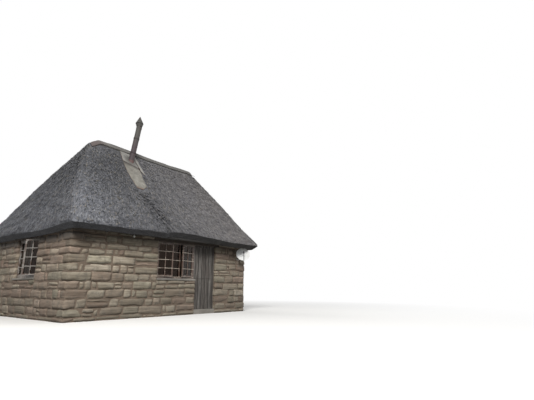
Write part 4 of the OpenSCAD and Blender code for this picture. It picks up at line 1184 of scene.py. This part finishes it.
# FLUE
# The stove flue is a plain rolled steel pipe that leans to the right, with push-on joints on its way up and
# a pointed cowl on three stays. Soot and rust have taken its paint, most of all in the collar at its foot.
FLUE_X, FLUE_Y, FLUE_LEAN = -0.515, -0.485, math.radians(8.9)
FLUE_FOOT = np.array([FLUE_X, FLUE_Y, RIDGE_Z + FLUE_Y * math.tan(PITCH)])


def sooty_steel(name, low_colour, high_colour, rust):
    finish, tree, shader = start_finish(name, 0.7, 0.2)
    drips = mottle(tree, place_of(tree, (14.0, 14.0, 2.4)), 1.0, 7.0, 0.65)
    specks = mottle(tree, place_of(tree), 42.0, 5.0, 0.7)
    bare = mix_paint(tree, level(tree, along(tree, "Z"), 5.35, 5.95), low_colour, high_colour)
    colour = mix_paint(tree, level(tree, drips, 0.46, 0.70), bare, rust)
    colour = stain(tree, colour, specks, 0.55, 0.75, (0.024, 0.021, 0.022))
    paint(tree, shader, colour)
    relief(tree, shader, specks, 0.002)
    return finish


pipe_finish = sooty_steel("sooty_pipe", (0.046, 0.035, 0.040), (0.058, 0.058, 0.052), (0.066, 0.046, 0.042))
finish_nodes(pipe_finish, "flue_pipe", "flue_cowl")
COLLAR_BROWN = (0.085, 0.050, 0.048)
collar_finish = sooty_steel("rusted_collar", COLLAR_BROWN, COLLAR_BROWN, (0.115, 0.055, 0.040))
finish_nodes(collar_finish, "flue_collar")
# The push-on joints: outline of a sleeve as (radius, height), and their places up the pipe
SLEEVE = [
    (0.0905, -0.034), (0.0945, -0.032), (0.0950, 0.026), (0.0965, 0.030), (0.0965, 0.035), (0.0905, 0.038),
]
SLEEVE_SIDES, SLEEVES_UP = 48, (0.36, 0.90)
sleeves = []
for height in SLEEVES_UP:
    points, faces = turned_shape(SLEEVE, SLEEVE_SIDES)
    x, y, z = points[:, 0], points[:, 1], points[:, 2] + height
    lean_x = x * math.cos(FLUE_LEAN) + z * math.sin(FLUE_LEAN)
    lean_z = z * math.cos(FLUE_LEAN) - x * math.sin(FLUE_LEAN)
    sleeves.append((np.stack([lean_x, y, lean_z], 1) + FLUE_FOOT, faces, PLAIN_TONE))
points, faces, tones = gather(sleeves)
make_piece("flue_sleeves", points, faces, pipe_finish, tones=tones)


# FLASHING
# Two sheets of galvanised steel are dressed over the thatch round the flue: one behind it, with a folded
# strip down its right side, and a long one below it. They are dull and cream with dirt, their cut edges
# rust, soot lies round the flue, and painted shade darkens the lap between them.
def dull_sheet(name, dark, mid, pale):
    finish, tree, shader = start_finish(name, 0.6, 0.15)
    cloud = mottle(tree, place_of(tree), 5.0, 6.0, 0.65)
    colour = shades(tree, cloud, (0.3, dark), (0.52, mid), (0.74, pale))
    rust_mark, soot_and_lap_shade_mark, _ = point_tones(tree)
    dirt = mottle(tree, place_of(tree, (22.0, 5.0, 5.0)), 1.0, 6.0, 0.7)
    colour = stain(tree, colour, dirt, 0.52, 0.72, (0.15, 0.135, 0.112))
    rust = reckon(tree, "MULTIPLY", rust_mark, level(tree, cloud, 0.3, 0.6))
    colour = mix_paint(tree, rust, colour, (0.105, 0.050, 0.032))
    # Soot round the flue, and painted shade along the lap between the sheets
    colour = mix_paint(tree, soot_and_lap_shade_mark, colour, (0.035, 0.031, 0.027))
    paint(tree, shader, colour)
    relief(tree, shader, cloud, 0.004)
    return finish


def front_slope_point(x, y, lift):
    """A point over the front slope, y metres in front of the ridge in plan."""
    z = RIDGE_Z - y * math.tan(PITCH) + float(ridge_lift(x, 1 - y / EAVE_Y))
    return x, -y - lift * math.sin(PITCH), z + lift * math.cos(PITCH)


SOOT_REACH = 0.26


def dressed_sheet(left, right, lift, across, down, rust_foot, lap_shade_at, seed):
    """A sheet between its left and right edges, each a list of (place down the sheet, x, y)."""
    points, tones = [], []
    for r in np.linspace(0, 1, down):
        start, stop = (
            np.array([follow(r, [(mark[0], mark[k]) for mark in edge]) for k in (1, 2)])
            for edge in (left, right)
        )
        for s in np.linspace(0, 1, across):
            x, y = start * (1 - s) + stop * s
            x += 0.012 * noise.noise(Vector((seed, y * 9.0, 2.0 * round(s)))) * abs(2 * s - 1)
            y += 0.012 * noise.noise(Vector((x * 12.0, seed, round(r) * 3.0))) * abs(2 * r - 1) ** 4
            crease = 0.010 * noise.noise(Vector((x * 4.0, y * 3.0, seed)))
            crease += 0.005 * noise.noise(Vector((x * 15.0, y * 12.0, seed)))
            edge = min(s, 1 - s, r * 2, (1 - r) * 1.5)
            turned_down = 0.006 * max(0, 1 - edge / 0.08)
            points.append(front_slope_point(x, y, max(lift + crease - turned_down, 0.004)))
            rust = max(0, (r - 0.88) / 0.12) * rust_foot + 0.8 * max(0, 1 - edge / 0.05)
            # Painted shade along the lap between the sheets, and soot round the flue
            soot_and_lap_shade = max(0, 1 - abs(r - lap_shade_at) / 0.10) if lap_shade_at is not None else 0.0
            soot = 0.75 * max(0, 1 - math.hypot(x - FLUE_X, y + FLUE_Y) / SOOT_REACH)
            soot_and_lap_shade = max(soot_and_lap_shade, min(0.6, 1.6 * soot))
            tones.append([min(1, rust), min(0.95, soot_and_lap_shade), 0.0, 1.0])
    return np.array(points), grid_faces(down, across), tones


def make_sheet(name, sheets, finish, node):
    points = np.concatenate([sheet[0] for sheet in sheets])
    tones = [tone for sheet in sheets for tone in sheet[2]]
    faces, base = [], 0
    for sheet in sheets:
        faces.append(sheet[1] + base)
        base += len(sheet[0])
    piece = make_piece(name, points, np.concatenate(faces), finish, (node,), tones=tones)
    thick = piece.modifiers.new("sheet", "SOLIDIFY")
    thick.thickness, thick.offset = 0.003, 0.0


grey_sheet = dull_sheet("grey_sheet", (0.15, 0.148, 0.140), (0.235, 0.230, 0.215), (0.31, 0.305, 0.285))
cream_sheet = dull_sheet("cream_sheet", (0.120, 0.114, 0.098), (0.195, 0.187, 0.163), (0.290, 0.280, 0.250))
upper = dressed_sheet(
    [(0, -0.755, 0.115), (0.3, -0.795, 0.28), (0.7, -0.835, 0.47), (1, -0.845, 0.575)],
    [(0, -0.40, 0.205), (0.3, -0.34, 0.33), (0.7, -0.325, 0.56), (1, -0.325, 0.725)],
    lift=0.018, across=26, down=30, rust_foot=0.4, lap_shade_at=1.0, seed=3.0,
)
strip = dressed_sheet(
    [(0, -0.335, 0.200), (0.4, -0.335, 0.50), (0.8, -0.325, 0.80), (1, -0.285, 0.905)],
    [(0, -0.215, 0.225), (0.4, -0.215, 0.52), (0.8, -0.222, 0.84), (1, -0.235, 0.935)],
    lift=0.024, across=8, down=30, rust_foot=0.5, lap_shade_at=None, seed=7.0,
)
lower = dressed_sheet(
    [(0, -0.845, 0.53), (0.2, -0.875, 0.75), (0.45, -0.89, 1.00), (0.75, -0.875, 1.28), (1, -0.855, 1.51)],
    [(0, -0.335, 0.66), (0.2, -0.335, 0.86), (0.42, -0.395, 1.09), (0.8, -0.445, 1.40), (1, -0.66, 1.54)],
    lift=0.010, across=26, down=46, rust_foot=1.0, lap_shade_at=0.05, seed=5.0,
)
make_sheet("upper_flashing", [upper, strip], grey_sheet, "flashing_upper")
make_sheet("lower_flashing", [lower], cream_sheet, "flashing_lower")


# DISH
# The dish is pressed steel with white enamel, on a grey bracket tube bolted to the wall. Its arm comes up
# from below the rim and holds the dark receiver in front of the middle.
RECEIVER_AT, RECEIVER_REACH = (2.640, -2.754, 1.973), 0.070


def enamel(name, colour, dirt, roughness, receiver=False):
    finish, tree, shader = start_finish(name, roughness)
    cloud = mottle(tree, place_of(tree), 6.0, 5.0, 0.6)
    runs = mottle(tree, place_of(tree, (28.0, 28.0, 3.0)), 1.0, 5.0, 0.6)
    clouded = stain(tree, colour, cloud, 0.4, 0.8, [c * 0.85 for c in colour])
    clouded = stain(tree, clouded, runs, 0.52, 0.80, dirt)
    if receiver:
        away = add_node(
            tree, "VectorMath", {"operation": "DISTANCE"}, i0=place_of(tree), i1=RECEIVER_AT
        ).outputs["Value"]
        near = level(tree, away, RECEIVER_REACH, RECEIVER_REACH - 0.003)
        clouded = mix_paint(tree, near, clouded, (0.030, 0.030, 0.034))
    paint(tree, shader, clouded)
    relief(tree, shader, cloud, 0.0008)
    return finish


finish_nodes(enamel("dish_enamel", (0.86, 0.88, 0.875), (0.68, 0.67, 0.64), 0.38), "dish_reflector")
arm_finish = enamel("arm_enamel", (0.42, 0.43, 0.43), (0.20, 0.18, 0.16), 0.5, receiver=True)
finish_nodes(arm_finish, "dish_feed_arm", "dish_mount")


# EAVE LAMP
# A small bulkhead fitting of pale plastic is screwed to the wall a little below the cut eave, and a frosted
# bulb hangs from it.
finish_nodes(enamel("lamp_plastic", (0.52, 0.51, 0.47), (0.30, 0.28, 0.24), 0.55), "lamp_fitting")
finish_nodes(enamel("frosted_bulb", (0.90, 0.90, 0.88), (0.78, 0.77, 0.73), 0.22), "lamp_bulb")


# STUDIO
# A pale floor runs out to a white surround, with a soft key light from the front left, a fill from the
# right, a light behind and an even surround, so that a colour renders about as it is written.
FLOOR_REACH, FADE_START, FADE_END = 160.0, 6.5, 14.0


def seen_directly(tree):
    """1 for a ray that looks at the backdrop straight, in a gloss or through glass."""
    path = add_node(tree, "LightPath")
    direct = reckon(tree, "MAXIMUM", path.outputs["Is Camera Ray"], path.outputs["Is Glossy Ray"])
    return reckon(tree, "MAXIMUM", direct, path.outputs["Is Transmission Ray"])


def studio_floor():
    finish, tree, shader = start_finish("studio_floor", 1.0)
    shader.inputs["Specular IOR Level"].default_value = 0.0
    direct = seen_directly(tree)
    paint(tree, shader, mix_paint(tree, direct, (0.20, 0.20, 0.195), (0.86, 0.86, 0.85)))
    place = add_node(tree, "TexCoord").outputs["Object"]
    away = add_node(tree, "VectorMath", {"operation": "LENGTH"}, i0=place).outputs["Value"]
    far = level(tree, away, FADE_START, FADE_END)
    white = add_node(tree, "Emission", Color=(1.0, 1.0, 1.0, 1.0), Strength=1.0)
    share = reckon(tree, "MULTIPLY", far, direct)
    both = add_node(tree, "MixShader", i0=share, i1=shader.outputs[0], i2=white.outputs[0])
    tree.links.new(both.outputs[0], tree.nodes["Material Output"].inputs["Surface"])
    return finish


floor_mesh = bpy.data.meshes.new("studio_floor")
floor_corners = [(x * FLOOR_REACH, y * FLOOR_REACH, 0) for x, y in ((-1, -1), (1, -1), (1, 1), (-1, 1))]
floor_mesh.from_pydata(floor_corners, [], [(0, 1, 2, 3)])
floor_mesh.materials.append(studio_floor())
floor = bpy.data.objects.new("studio_floor", floor_mesh)
bpy.context.scene.collection.objects.link(floor)
floor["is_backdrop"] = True

world = bpy.data.worlds.new("studio")
bpy.context.scene.world = world
world.use_nodes = True
sky = world.node_tree
sky.nodes.clear()
even = add_node(sky, "Background", Color=(0.95, 0.97, 1.0, 1.0), Strength=0.28)
white = add_node(sky, "Background", Color=(1.0, 1.0, 1.0, 1.0), Strength=1.0)
both = add_node(sky, "MixShader", i0=seen_directly(sky), i1=even.outputs[0], i2=white.outputs[0])
add_node(sky, "OutputWorld", Surface=both.outputs[0])


def soft_light(name, place, target, width, power, colour):
    lamp = bpy.data.lights.new(name, "AREA")
    lamp.shape, lamp.size, lamp.size_y = "RECTANGLE", width, width * 0.7
    lamp.energy, lamp.color = power, colour
    holder = bpy.data.objects.new(name, lamp)
    holder.location = place
    holder.rotation_euler = (Vector(target) - Vector(place)).to_track_quat("-Z", "Y").to_euler()
    bpy.context.scene.collection.objects.link(holder)


soft_light("key", (-12.0, -13.0, 13.0), (0, 0, 2.0), 8.0, 4300.0, (1.0, 0.975, 0.94))
soft_light("fill", (13.0, -12.0, 9.0), (0, 0, 2.0), 9.0, 800.0, (0.97, 0.98, 1.0))
soft_light("back", (2.0, 15.0, 12.0), (0, 0, 3.0), 9.0, 1500.0, (1.0, 0.97, 0.93))


# CAMERA
# The camera stands low off the front left corner, where the photograph was taken, and looks a little up.
# Its place and its lens are fitted to the lines of the eave, the wall corner and the ridge.
PICTURE_WIDTH, FOCAL_PIXELS, SENSOR_WIDTH = 534, 384.3, 36.0
CAMERA_AT, YAW, UPWARD = (-7.289, -11.57, 0.75), 0.905, 0.227
camera_data = bpy.data.cameras.new("camera")
camera_data.sensor_width = SENSOR_WIDTH
camera_data.lens = FOCAL_PIXELS / PICTURE_WIDTH * SENSOR_WIDTH
camera = bpy.data.objects.new("camera", camera_data)
camera.location = CAMERA_AT
look = Vector((math.sin(YAW) * math.cos(UPWARD), math.cos(YAW) * math.cos(UPWARD), math.sin(UPWARD)))
camera.rotation_euler = look.to_track_quat("-Z", "Y").to_euler()
bpy.context.scene.collection.objects.link(camera)
bpy.context.scene.camera = camera
bpy.context.scene.view_settings.view_transform = "Standard"

low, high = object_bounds()
